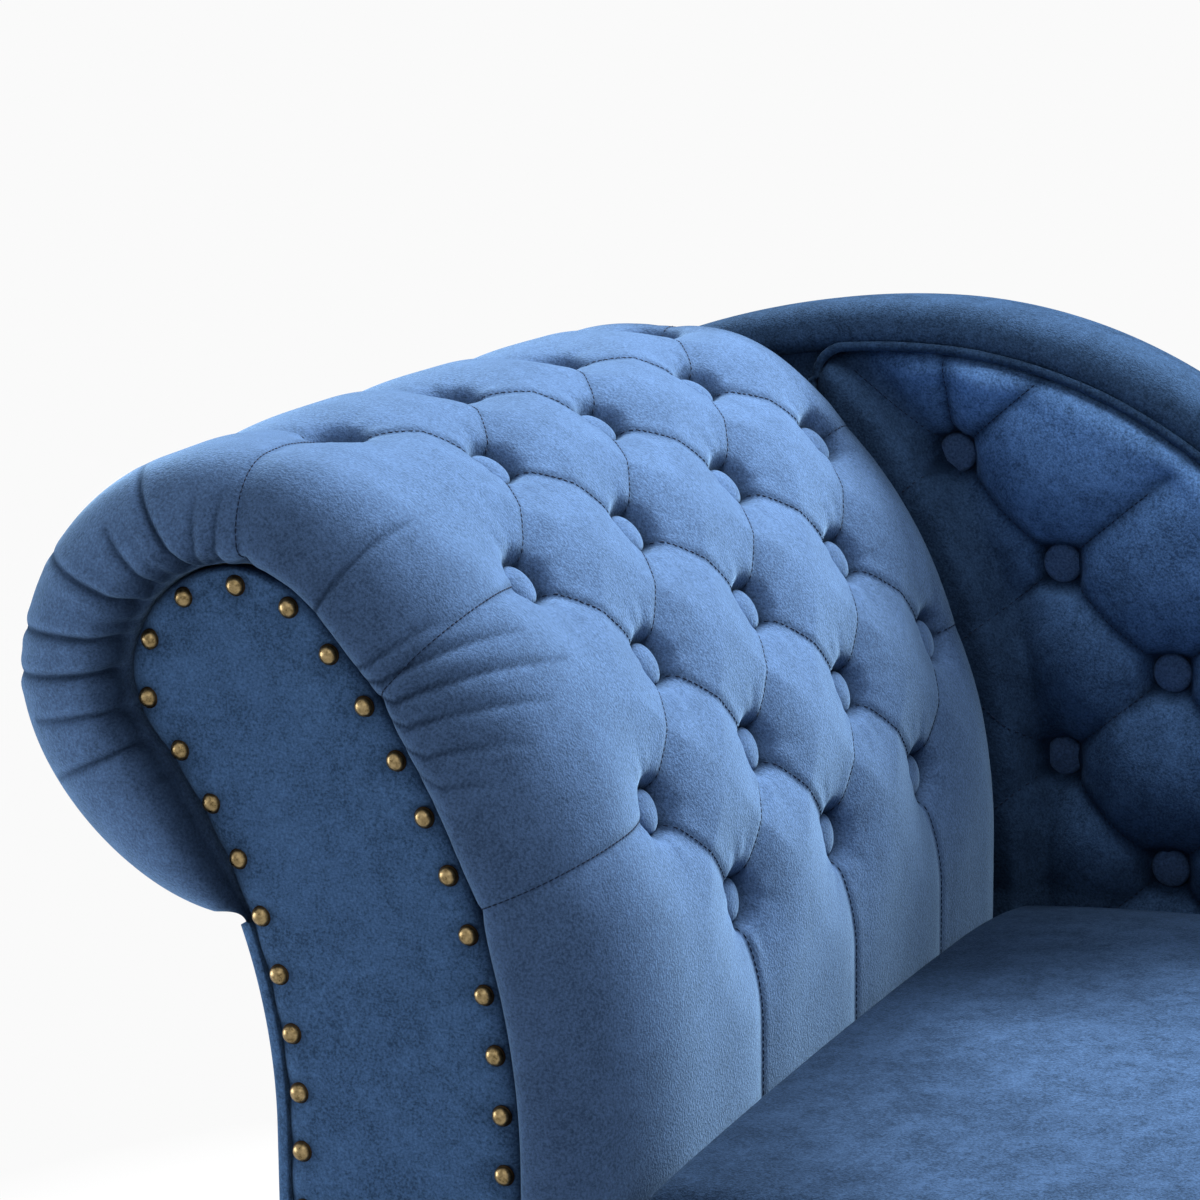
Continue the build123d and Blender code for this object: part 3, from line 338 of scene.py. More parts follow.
# Tufting
def tufting(u, v, seams, buttons, puff=1.0):
    """Height and painted shade (the crease value) over a flat map of a tufted pad, from its seam lines and
    button places.
    """
    well = np.full_like(u, 1e9)
    pucker = np.zeros_like(u)
    for index, (u0, v0) in enumerate(buttons):
        gap = np.hypot(u - u0, v - v0)
        angle = np.arctan2(v - v0, u - u0)
        ripple = np.sin(9 * angle + 2.1 * index) + 0.7 * np.sin(13 * angle + 4.7 * index)
        pucker += 0.2 * ripple * bell(gap - 25, 10.0)
        well = np.minimum(well, gap)
    near = np.zeros_like(u)
    closest = np.full_like(u, 1e9)
    tuck = np.zeros_like(u)
    for (u0, v0), (u1, v1) in seams:
        run = np.hypot(u1 - u0, v1 - v0)
        way = ((u1 - u0) / run, (v1 - v0) / run)
        along = np.clip((u - u0) * way[0] + (v - v0) * way[1], 0, run)
        gap_u, gap_v = u - u0 - along * way[0], v - v0 - along * way[1]
        gap = np.hypot(gap_u, gap_v)
        near += (gap / SEAM_REACH + 0.02) ** -4.0
        side = np.sign(gap_u * way[1] - gap_v * way[0]) * np.sign(way[1] if abs(way[1]) > 0.05 else 1.0)
        tuck = np.where(gap < closest, side * bell(gap, 8.0) * np.tanh(gap / 2.0), tuck)
        closest = np.minimum(closest, gap)
    close = np.exp(-well / 30.0)
    reach = np.clip(well - BUTTON_SEAT, 0, None)
    height = -puff * (SEAM_DIP + SEAM_PULL * close) * (1 - swell(near**-0.25, 0.72))
    hollow = (1 - unit(reach / HOLLOW_REACH)) ** 2
    height -= LIP_DEPTH * bell(reach, LIP_REACH, 1.6) + HOLLOW_DEPTH * hollow
    height += (0.5 + 0.9 * close) * tuck + pucker
    # Painted shade: darker along each seam and round each button in its well
    crease = bell(closest, 2.6 * puff**0.5) * (0.2 * puff + 0.55 * close)
    crease += 0.95 * bell(well, 15.0, 6)
    return height, unit(crease)


def arm_row_columns(row):
    if row % 2:
        return [ARM_FIRST_COLUMN + ARM_COLUMN_PITCH * n for n in range(ARM_COLUMNS)]
    return [ARM_FIRST_COLUMN + ARM_COLUMN_PITCH * (n + 0.5) for n in range(ARM_COLUMNS - 1)]


PAD_ARC = leaving_arc(PAD_IN_X, PAD_SPRING_Z, ROLL, ROLL_RADIUS, -1)
PAD_FOOT_Z = RAIL_TOP + 1
SEAT_MARK = SEAT_Z - PAD_FOOT_Z


def arm_pad_outline():
    middle, size, turn = PAD_ARC
    under = (HEAD_X + UNDER_RADIUS, ROLL[1])
    low = on_circle(under, UNDER_RADIUS, 270)
    path = Outline().line((PAD_IN_X, PAD_FOOT_Z), (PAD_IN_X, PAD_SPRING_Z))
    path.arc(middle, size, 0, turn).arc(ROLL, ROLL_RADIUS, turn, 180)
    end, _ = scroll_outline(-1.0, PAD_FOOT_Z, ROLL_END_Z + 1).at(np.array([9999.0]))
    return path.arc(under, UNDER_RADIUS, 180, 270).line(low, end[0] - 0.6)


def arm_buttons_flat():
    return [
        (SEAT_MARK + ARM_FIRST_ROW + ARM_ROW_PITCH * row, y)
        for row in range(ARM_ROWS)
        for y in arm_row_columns(row)
    ]


def arm_seams(end):
    """Diamond seams between neighbouring buttons, and pleats to the seat, the ends and over the roll."""
    seams = []
    for row in range(ARM_ROWS):
        up = SEAT_MARK + ARM_FIRST_ROW + ARM_ROW_PITCH * row
        for y in arm_row_columns(row):
            if row == 0:
                seams.append(((up, y), (0.0, y)))
            if row == ARM_ROWS - 1:
                seams.append(((up, y), (end, y)))
                continue
            for other in arm_row_columns(row + 1):
                if abs(other - y) < 0.6 * ARM_COLUMN_PITCH:
                    seams.append(((up, y), (up + ARM_ROW_PITCH, other)))
        if row % 2:
            columns = arm_row_columns(row)
            seams.append(((up, columns[0]), (up - 12, FRONT_Y - 120)))
            seams.append(((up, columns[-1]), (up, BACK_PAD_Y + 60)))
    return seams


def front_gathers(share, s_map, spread, height, crease):
    """Adds the folds that fan out from the facing; those inside the arm start past the crest of the roll."""
    for inner_end, outer_end, length, depth in GATHERS:
        line = inner_end + (outer_end - inner_end) * unit(share / length) ** 1.6
        fade = unit(1 - share / length) ** 0.7 * (share < 2)
        drift = (s_map - line) * spread
        start = 0.36 if inner_end < OUTER_FOLDS else 0.0
        deep = 1.6 * depth * fade * np.clip((share - start) / 0.22, 0.06, 1)
        height -= deep * bell(np.abs(drift), 2.4, 1.4)
        height += 0.25 * deep * bell(np.abs(drift) - 7, 3.5)
        # Painted shade along each fold
        crease = np.maximum(crease, np.minimum(depth / 2.8, 1) * fade**0.35 * bell(drift, 2.1))
    return height, crease


def arm_pad():
    """The tufted pad: its section follows the roll, its front is gathered round the facing."""
    outer = arm_pad_outline()
    inner = scroll_outline(-1.0, PAD_FOOT_Z, ROLL_END_Z + 1)
    top = outer.breaks[2] + ROLL_RADIUS * math.radians(90 - PAD_ARC[2])
    outer_marks = [0, outer.breaks[1], outer.breaks[2], top, outer.breaks[3], outer.length]
    side = inner.breaks[3] + CURL_RADIUS * math.radians(180 - CURL_TURN)
    inner_marks = [0, PAD_SPRING_Z - PAD_FOOT_Z, inner.breaks[2], scroll_apex(inner, 0.0), side, inner.length]
    rows = 520
    s = np.linspace(0, outer.length, rows + 1)
    skin, _ = outer.at(s)
    # The stuffing hangs flatter under the roll
    under = np.array((HEAD_X + UNDER_RADIUS, ROLL[1]))
    sag = unit((s - outer.breaks[3]) / (outer.breaks[4] - outer.breaks[3]))
    flatter = 1 - 0.07 * np.sin(math.pi * sag) - 0.07 * sag**2
    skin = np.where(sag[:, None] > 0, under + (skin - under) * flatter[:, None], skin)
    core, _ = inner.at(np.interp(s, outer_marks, inner_marks))
    width = np.linalg.norm(core - skin, axis=-1)
    inward = (core - skin) / np.maximum(width, 1e-6)[:, None]
    full = np.clip(width / 54.0, 0.02, 1)
    crest = FACING_Y + 3 + (FRONT_Y - FACING_Y - 3) * full
    lower = unit((560 - s) / 150)
    shoulder = crest + (44 + 50 * lower) * full + 2
    tucked = FACING_Y + 8
    # Columns: front roll from the facing outwards, long outer face, rear roll, rear cap, inner wall
    front, long, rear, cap, wall = 60, 200, 26, 5, 12
    phase = math.pi * np.linspace(0, 1, front + 1) ** 0.8
    square = 1 - 0.12 * lower[:, None]
    turned = np.cos(phase)
    inner_part = np.where(turned > 0, 1 - CREST_SHARE, CREST_SHARE)
    front_w = width[:, None] * (CREST_SHARE + inner_part * np.sign(turned) * np.abs(turned) ** square)
    foot = np.where(phase < math.pi / 2, tucked, shoulder[:, None])
    front_y = foot + (crest[:, None] - foot) * unit(np.sin(phase)) ** square
    rear_y = BACK_PAD_Y - 0.5
    higher = unit((s - 170) / 300)
    back_round = (56 - 8 * higher) * full + 1
    stretch = np.linspace(0, 1, long + 1)[1:]
    long_y = shoulder[:, None] + (rear_y - back_round - shoulder)[:, None] * stretch
    quarter = np.linspace(0, math.pi / 2, rear + 1)[1:]
    round_y = rear_y - back_round[:, None] * (1 - np.sin(quarter))
    round_w = np.minimum(38, 0.75 * width)[:, None] * (1 - np.cos(quarter))
    cap_w = round_w[:, -1:] + (width[:, None] - round_w[:, -1:]) * np.linspace(0, 1, cap + 1)[1:]
    cap_y = np.full_like(cap_w, rear_y)
    wall_y = rear_y + (tucked - rear_y) * np.linspace(0, 1, wall + 1)[1:] + np.zeros((rows + 1, 1))
    wall_w = np.broadcast_to(width[:, None], wall_y.shape)
    w = np.concatenate([front_w, np.zeros_like(long_y), round_w, cap_w, wall_w], axis=1)
    y = np.concatenate([front_y, long_y, round_y, cap_y, wall_y], axis=1)
    base = set_off(skin, inward, w, y)
    # The roll sinks a little towards the rear
    over = unit((s - 470) / 130)[:, None]
    sink = ROLL_SINK * over * unit((y - FACING_Y - 150) / (rear_y - FACING_Y - 150)) ** 1.3
    shown = np.zeros(base.shape[1])
    shown[: front + long + rear] = 1
    base[..., 2] -= sink * shown
    # The flat map: distance up the section, and distance along the pad unrolled from the long face
    steps = np.linalg.norm(np.diff(base, axis=1), axis=-1)
    t = np.concatenate([np.zeros((rows + 1, 1)), np.cumsum(steps, axis=1)], axis=1)
    t += shoulder[:, None] - t[:, front : front + 1]
    s_map = np.broadcast_to(s[:, None], t.shape)
    height, crease = tufting(s_map, t, arm_seams(outer.length), arm_buttons_flat())
    spread = np.linalg.norm(np.gradient(base, axis=0), axis=-1) / (s[1] - s[0])
    share = np.concatenate([phase / math.pi, 1 + np.arange(1, t.shape[1] - front) / front])
    height, crease = front_gathers(share, s_map, spread, height, crease)
    # Painted shade in the groove where the pad meets the facing
    seam_gap = (width[:, None] - w) / (4 + 9 * unit((s_map - OUTER_FOLDS) / 60))
    crease = np.maximum(crease, np.where(share < 1, 0.9 * bell(seam_gap, 1.0), 0))
    # Painted shade over the front roll
    painted_front_shade = 0.34 * unit((1.08 - share) / 0.4) * unit((640 - s_map) / 80)
    crease = np.maximum(crease, painted_front_shade)
    # Painted shade towards the rear end of the pad, by the back
    crease = np.maximum(crease, 0.92 * unit((y - 197) / 42))
    # Nothing swells on the hidden cap and wall
    show = np.ones(t.shape[1])
    show[front + long + rear :] = 0
    show[:8] = np.linspace(0.25, 1, 8)
    height *= show * np.clip(full, 0.15, 1)[:, None] * (1 - 0.7 * unit((y - 200) / 30))
    normal = grid_normals(base)
    probe = normal[rows // 2, front + long // 2]
    if probe @ np.array([1.0, 0, 1.0]) < 0:
        normal = -normal
    places = base + normal * height[..., None]
    places[:, -1] = places[:, 0]
    stuffed(woven_grid("arm_pad_velvet", places, "velvet", crease * show), "arm_pad")

    def surface(up, along):
        """Places on the sewn pad, which way it faces there, and whether they lie on its shown face."""
        up, along = np.atleast_1d(up), np.atleast_1d(along)
        row = np.clip(up / (s[1] - s[0]), 0, rows - 1.001)
        low = row.astype(int)
        column = np.array([np.interp(a, t[r], np.arange(t.shape[1])) for a, r in zip(along, low)])
        column = np.clip(column, 0, front + long + rear - 1.001)
        left, f = column.astype(int), (row - low)[:, None]
        sides = (1 - f) * normal[low, left] + f * normal[low + 1, left]
        return between(places, row, column), sides, (column > 1) & (column < front + long + rear - 2)

    centres = np.array(arm_buttons_flat())
    spots, ways, _ = surface(centres[:, 0], centres[:, 1])
    covered_buttons("arm_buttons_velvet", "arm_buttons", spots, ways)
    twines("arm_button_cords", "arm_button_twine", spots, ways, 32.0)
    stitches("arm_seam_stitches", surface, arm_seams(outer.length))


def back_button_places():
    """The lattice places with room between the arm, the seat and the band."""
    edge, _ = back_outline(BAND_WIDTH, 200.0, 300.0).at(np.linspace(0, 3000, 3001))
    middle, size, turn = PAD_ARC
    places = {}
    for row in range(5):
        for column in range(row % 2, 14, 2):
            x, z = BACK_FIRST[0] + BACK_STEP[0] * column, BACK_FIRST[1] - BACK_STEP[1] * row
            top = edge[np.abs(edge[:, 0] - x) < 1.5][:, 1].max(initial=0)
            reach = middle[0] + math.sqrt(size**2 - min(max(z - middle[1], 0), 295) ** 2)
            if z < top - 52 and x > reach - 25 and x < TAIL_X - BAND_WIDTH - 52:
                places[row, column] = (x, z)
    return places


def back_seams(places):
    seams = []
    for (row, column), (x, z) in places.items():
        for step_row, step_column in ((1, 1), (1, -1), (-1, 1), (-1, -1)):
            other = (row + step_row, column + step_column)
            end = (x + BACK_STEP[0] * step_column, z - BACK_STEP[1] * step_row)
            if other not in places or step_row == 1:
                seams.append(((x, z), end))
        if row == 0:
            seams.append(((x, z), (x, z + 90)))
    return seams


def back_pad():
    """The tufted back: flat behind, crowned in front and tucked under the band all along its edge."""
    x = np.linspace(-600, 470, 400)
    z = np.linspace(330, 765, 164)
    u, v = np.meshgrid(x, z, indexing="ij")
    path = back_outline(BAND_WIDTH, 200.0, 300.0)
    points = np.stack([u.ravel(), v.ravel()], -1)
    gap = nearest_on(points, path, 900)[0].reshape(u.shape)
    kept = gap > -14
    end = u - PIPING_TURN[0]
    both = np.hypot(np.clip(PIPING_BEND - gap, 0, None), np.clip(PIPING_BEND - end, 0, None))
    gap = np.where((gap < PIPING_BEND) & (end < PIPING_BEND), PIPING_BEND - both, np.minimum(gap, end))
    arm_gap = nearest_on(points, arm_pad_outline(), 700)[0].reshape(u.shape)
    places = back_button_places()
    height, crease = tufting(u, v, back_seams(places), list(places.values()), 2.6)
    pressed = unit((arm_gap + 4) / 16)
    corner = unit(1 - arm_gap / 70) ** 2 * 24 * pressed
    corner += unit(1 - (v - SEAT_Z) / 60) ** 2 * 8
    height *= 0.15 + 0.85 * unit((arm_gap + 10) / 30)
    # Painted shade in the corner against the arm
    crease = np.maximum(crease, 0.85 * bell(np.clip(arm_gap, 0, None), 22))
    # Painted shade lower down the back, so that its top, in a lighter copy of the velvet, reads as lit
    painted_shade = 0.74 * unit((gap - 20) / 170) ** 0.7
    crease = 1 - (1 - crease) * (1 - painted_shade)
    edge = np.clip(gap, 0, 18)
    drop = 18 - np.sqrt(np.maximum(18**2 - (18 - edge) ** 2, 0)) + np.clip(-gap, 0, 20) * 0.8
    drop = np.where(end < 0, np.minimum(drop, 15.0), drop)
    y = BACK_PAD_Y - 1.1 * height * np.clip(gap / 20, 0.1, 1) + drop + corner
    y = np.minimum(y, BOARD_FRONT_Y - 1)
    grid = np.stack([u, y, v], -1)
    rows, columns = grid.shape[0] - 1, grid.shape[1] - 1
    bm = laid_grid(grid, crease, kept)
    close_behind(bm, BOARD_FRONT_Y - 0.5)
    stuffed(finish_piece(bm, "back_pad_velvet", "velvet", finishes["back_velvet_painted_light"]), "back_pad")
    normal = grid_normals(grid)
    if normal[0, 0, 1] > 0:
        normal = -normal

    def surface(across, up):
        across, up = np.atleast_1d(across), np.atleast_1d(up)
        column = np.clip((across - x[0]) / (x[1] - x[0]), 0, rows - 1.001)
        row = np.clip((up - z[0]) / (z[1] - z[0]), 0, columns - 1.001)
        i, j = column.astype(int), row.astype(int)
        return between(grid, column, row), normal[i, j], gap[i, j] > 4

    centres = np.array(list(places.values()))
    spots, _, _ = surface(centres[:, 0], centres[:, 1])
    ways = np.tile((0.0, -1.0, 0.0), (len(spots), 1))
    covered_buttons("back_buttons_velvet", "back_buttons", spots, ways)
    twines("back_button_cords", "back_button_twine", spots, ways, 24.0)
    stitches("back_seam_stitches", surface, back_seams(places))


# Buttons, stitches and nails
def turned_piece(bm, profile, steps, place, crease_from=None):
    """Adds a spun form from a profile of radius and height in millimetres, dark past a radius."""
    verts = [bm.verts.new((r * MM, 0, h * MM)) for r, h in profile]
    edges = [bm.edges.new(pair) for pair in zip(verts, verts[1:])]
    bmesh.ops.spin(
        bm, geom=verts + edges, cent=(0, 0, 0), axis=(0, 0, 1), angle=2 * math.pi, steps=steps, use_merge=True
    )
    fresh = [vert for vert in bm.verts if not vert.tag]
    if crease_from is not None:
        layer = bm.verts.layers.float["crease"]
        for vert in fresh:
            vert[layer] = min(1.0, max(0.0, (math.hypot(vert.co.x, vert.co.y) / MM - crease_from) / 1.2))
    bmesh.ops.remove_doubles(bm, verts=fresh, dist=1e-6)
    fresh = [vert for vert in bm.verts if not vert.tag]
    bmesh.ops.transform(bm, matrix=place, verts=fresh)
    for vert in fresh:
        vert.tag = True


def facing_matrix(place, way):
    """A placement at a point in millimetres whose Z axis looks along a direction."""
    turn = Vector(way).to_track_quat("Z", "Y").to_matrix().to_4x4()
    return Matrix.Translation(Vector(place) * MM) @ turn


def covered_buttons(name, node, spots, ways):
    """Domed buttons covered in the same velvet, drawn down into their wells."""
    bm = bmesh.new()
    bm.verts.layers.float.new("crease")
    curve = [(BUTTON_RADIUS * math.cos(a), 4.0 + 4.6 * math.sin(a)) for a in np.linspace(math.pi / 2, 0, 9)]
    profile = [*curve, (BUTTON_RADIUS - 0.4, 2.4), (BUTTON_RADIUS - 2.5, -2.0), (0, -2.0)]
    for place, way in zip(spots, ways):
        # Near black past 11 mm from the middle: painted shade where the button sinks into its well
        turned_piece(bm, profile, 28, facing_matrix(place, way), crease_from=11.0)
    bmesh.ops.recalc_face_normals(bm, faces=bm.faces)
    stuffed(finish_piece(bm, name, "velvet"), node)


def twines(name, node, spots, ways, length):
    """Two-strand twine from the back of each button down to the frame."""
    bm = bmesh.new()
    for place, way in zip(spots, ways):
        cord = bmesh.ops.create_grid(bm, x_segments=16, y_segments=8, size=1.0)
        matrix = facing_matrix(place, way)
        for vert in cord["verts"]:
            down, around = (vert.co.x + 1) / 2 * length, (vert.co.y + 1) * math.pi
            size = 0.7 + 0.22 * math.cos(2 * around + 1.2 * down)
            vert.co = matrix @ (Vector((size * math.cos(around), size * math.sin(around), -2.0 - down)) * MM)
    merge_doubles(bm)
    fill_holes(bm)
    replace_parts(finish_piece(bm, name, "twine"), node)


def stitches(name, surface, seams):
    """Short sewn stitches end to end along every seam, sunk a little into the crease; their near-black thread
    is partly painted shade of the seam.
    """
    bm = bmesh.new()
    for start, end in seams:
        start, end = np.array(start), np.array(end)
        run = float(np.linalg.norm(end - start))
        count = max(int(run / STITCH_PITCH), 2)
        share = (np.arange(count) + 0.5) / count
        line = start + (end - start) * share[:, None]
        ahead = start + (end - start) * (share + 0.4 * STITCH_PITCH / run)[:, None]
        spots, sides, kept = surface(line[:, 0], line[:, 1])
        kept = kept & (np.minimum(share, 1 - share) * run > 15)
        leads, _, _ = surface(ahead[:, 0], ahead[:, 1])
        for place, lead, side, keep in zip(spots, leads, sides, kept):
            way = Vector(lead - place)
            if keep and way.length > 0.2:
                way.normalize()
                out = Vector(side)
                across = out.cross(way).normalized()
                out = way.cross(across)
                axes = Matrix((way, across, out)).transposed().to_4x4()
                size = Matrix.Diagonal((0.45 * STITCH_PITCH * MM, 0.4 * MM, 0.4 * MM, 1))
                matrix = Matrix.Translation((Vector(place) + out * 0.1) * MM) @ axes @ size
                bmesh.ops.create_icosphere(bm, subdivisions=1, radius=1.0, matrix=matrix)
    finish_piece(bm, name, "twine", finishes["seam_thread_and_shade"])


def nail_spots():
    """Nail centres round the facing, both ways from the top of the scroll."""
    path = scroll_outline(NAIL_INSET, FLOOR_GAP, FLOOR_GAP)
    distances = scroll_apex(path, NAIL_INSET) + NAIL_PITCH * np.arange(-60, 61)
    distances = distances[(distances > NAIL_INSET) & (distances < path.length - NAIL_INSET)]
    return path.at(distances)[0]


def facing():
    """The flat scroll facing: a padded board drawn in under each nail and rounded at its edge."""
    path = scroll_outline(0.0, FLOOR_GAP + 0.5, FLOOR_GAP + 0.5)
    apex = scroll_apex(path, 0.0)
    rows, columns = 230, 64
    share = 1 - (1 - np.linspace(0, 1, rows + 1)) ** 1.25
    right, _ = path.at(share * apex)
    left, _ = path.at(path.length - share * (path.length - apex))
    across = (1 - np.cos(np.linspace(0, math.pi, columns + 1))) / 2
    flat = right[:, None] * (1 - across[:, None]) + left[:, None] * across[:, None]
    span = np.linalg.norm(right - left, axis=-1)[:, None]
    edge = np.minimum(across, 1 - across) * span
    crown = np.minimum(edge, (1 - share[:, None]) * 900)
    pulled = np.zeros_like(crown)
    for x, z in nail_spots():
        pulled += bell(np.hypot(flat[..., 0] - x, flat[..., 1] - z), 9.0)
    y = FACING_Y + 5.5 - 7.0 * swell(crown / (11.0 + 6.0 * unit(pulled)), 0.6)
    wave = np.sin(flat[..., 1] / 23.0 + flat[..., 0] / 41.0) * np.sin(flat[..., 1] / 57.0 + 1.3)
    y -= 0.35 * wave * unit(crown / 15)
    y = np.minimum(y + 1.7 * pulled, FACING_Y + 7)
    places = np.stack([flat[..., 0], y, flat[..., 1]], -1)
    # Painted shade at the facing's rounded edge and round each nail
    crease = 0.8 * bell(crown, 3.5) + 0.35 * pulled
    bm = laid_grid(places, unit(crease))
    merge_doubles(bm)
    close_behind(bm, FACING_Y + 9.5)
    stuffed(finish_piece(bm, "arm_facing_velvet", "velvet", finishes["crushed_velvet"]), "arm_facing")


def nails():
    """Domed brass nails, near black at the rim."""
    bm = bmesh.new()
    bm.verts.layers.float.new("crease")
    dome = [(5.0 * math.cos(a), 0.6 + 3.9 * math.sin(a)) for a in np.linspace(math.pi / 2, 0, 8)]
    profile = [*dome, (5.5, 0.45), (5.6, 0.1), (5.3, -0.3), (1.3, -0.3), (1.2, -1.5), (0, -1.6)]
    for x, z in nail_spots():
        turned_piece(bm, profile, 24, facing_matrix((x, FACING_Y + 0.3, z), (0, -1, 0)), crease_from=3.9)
    bmesh.ops.recalc_face_normals(bm, faces=bm.faces)
    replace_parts(finish_piece(bm, "facing_nails_brass", "antique_brass"), "facing_nails")


# Band, piping and panels of the back
def back_band():
    """The half-round padded band over the back's edge, with a few pinched wrinkles where it turns."""
    path = back_outline(0.0, FLOOR_GAP, FLOOR_GAP)
    rows = 520
    spots, ways = path.at(np.linspace(0, path.length, rows + 1))
    inward = np.stack([ways[:, 1], -ways[:, 0]], -1)
    turn = np.linspace(0, math.pi, 17)
    arc = len(turn)
    inset = BAND_WIDTH / 2 * (1 + np.cos(turn))
    y = BAND_FRONT_Y + 8 + 20 * turn / math.pi - 18 * np.sin(turn) ** 0.9
    top = np.linspace(0, 1, 7)[1:-1]
    inset = np.concatenate([inset, 3.0 * top**1.6])
    y = np.concatenate([y, BAND_FRONT_Y + 28 + (PANEL_Y - 14 - BAND_FRONT_Y - 28) * top])
    rear = np.linspace(0, math.pi / 2, 7)
    inset = np.concatenate([inset, 3 + 13 * (1 - np.cos(rear)), [24, BAND_WIDTH, BAND_WIDTH, BAND_WIDTH]])
    closing = [PANEL_Y, PANEL_Y, PANEL_Y - 20, BAND_FRONT_Y + 8]
    y = np.concatenate([y, PANEL_Y - 13 + 13 * np.sin(rear), closing])
    behind = (spots[:, 1] < ROLL_END_Z) & (spots[:, 0] < 0) | (spots[:, 1] < SEAT_BASE_Z - 2)
    low = np.where(behind, BOARD_FRONT_Y + 0.5, 0.0)[:, None]
    depth = np.maximum(y[None, :], low)
    inset = np.broadcast_to(inset, depth.shape).copy()
    distance = np.linspace(0, path.length, rows + 1)[:, None]
    front = unit(np.sin(turn))
    wrinkle = np.zeros_like(depth)
    for at, size in BAND_PINCHES:
        wrinkle[:, :arc] += size * front * bell(distance - at, 4.5)
    ripple = 0.5 * np.sin(distance / 37.0 + 1.0) + 0.4 * np.sin(distance / 17.0)
    depth[:, :arc] += np.where(behind[:, None], 0, wrinkle[:, :arc] - ripple * front)
    places = set_off(spots, inward, inset, depth)
    places[:, -1] = places[:, 0]
    stuffed(woven_grid("back_band_velvet", places, "band_velvet_painted_shade"), "back_band")


def piping_outline():
    """The piped seam from behind the arm, up round the head end of the pad and along the band to the tail."""
    path = back_outline(BAND_WIDTH - PIPING_RADIUS, FLOOR_GAP, SEAT_Z)
    distance = np.linspace(0, path.length, 4000)
    spots, _ = path.at(distance)
    lead = distance[(spots[:, 0] > PIPING_TURN[0] + PIPING_BEND) & (spots[:, 1] > 700)][0]
    corner, way = path.at(np.array([lead]))
    middle = corner[0] + PIPING_BEND * np.array([way[0, 1], -way[0, 0]])
    first = 90 + math.degrees(math.atan2(way[0, 1], way[0, 0]))
    rise = Outline().line(PIPING_TURN, (PIPING_TURN[0], middle[1]))
    rise.arc(middle, PIPING_BEND, 180, first)
    low, low_way = rise.at(np.linspace(0, rise.length, 60))
    high, high_way = path.at(np.linspace(lead, path.length, 400)[1:])
    return np.concatenate([low, high]), np.concatenate([low_way, high_way])


def back_piping():
    """The piped seam between band and pad, a cord in velvet with a light unevenness."""
    spots, ways = piping_outline()
    inward = np.stack([ways[:, 1], -ways[:, 0]], -1)
    distance = np.concatenate([[0], np.cumsum(np.linalg.norm(np.diff(spots, axis=0), axis=-1))])
    around = np.linspace(0, 2 * math.pi, 13)
    size = PIPING_RADIUS * (1 + 0.05 * np.sin(distance / 9.0) * np.sin(distance / 31.0))[:, None]
    inset = size * np.cos(around)
    y = BAND_FRONT_Y - 2.0 + size * np.sin(around)
    places = set_off(spots, inward, inset, y)
    places[:, -1] = places[:, 0]
    stuffed(woven_grid("back_piping_velvet", places, "band_velvet_painted_shade"), "back_piping")


def nearest_on(points, path, count):
    """How far inside an outline points lie, negative outside, and the nearest place on it."""
    edge, way = path.at(np.linspace(0, path.length, count))
    best = np.full(len(points), 1e9)
    gap = np.full(len(points), 1e9)
    spot = np.zeros_like(points)
    for place, along in zip(edge, way):
        offset = points - place
        far = np.hypot(offset[:, 0], offset[:, 1])
        inside = offset[:, 0] * along[1] - offset[:, 1] * along[0]
        closer = far < best
        best = np.where(closer, far, best)
        gap = np.where(closer, np.where(inside >= 0, far, -far), gap)
        spot[closer] = place
    return gap, spot


def back_outside_panel():
    """The plain cloth over the rear of the back, drawn tight over the stiles, with a sewn edge."""
    path = back_outline(10.5, FLOOR_GAP, FLOOR_GAP)
    x = np.linspace(-720, 500, 245)
    z = np.linspace(FLOOR_GAP + 0.5, 790, 121)
    u, v = np.meshgrid(x, z, indexing="ij")
    gap, spot = nearest_on(np.stack([u.ravel(), v.ravel()], -1), path, 1800)
    gap, spot = gap.reshape(u.shape), spot.reshape(u.shape + (2,))
    rim = (gap < 2.5) & (gap > -PANEL_SNAP)
    u, v = np.where(rim, spot[..., 0], u), np.where(rim, np.maximum(spot[..., 1], z[0]), v)
    inside = np.clip(gap, 0, 400)
    y = PANEL_Y + 1.5 + 2.4 * swell(inside / 26.0, 0.6) - 0.9 * bell(inside - 9, 1.6)
    y += 0.25 * np.sin(u / 43.0) * np.sin(v / 61.0 + u / 90.0) * unit(inside / 40)
    bm = laid_grid(np.stack([u, y, v], -1), kept=gap > -PANEL_SNAP)
    merge_doubles(bm)
    close_behind(bm, PANEL_Y)
    piece = finish_piece(bm, "back_outside_panel_velvet", "velvet", finishes["crushed_velvet"])
    stuffed(piece, "back_outside_panel")


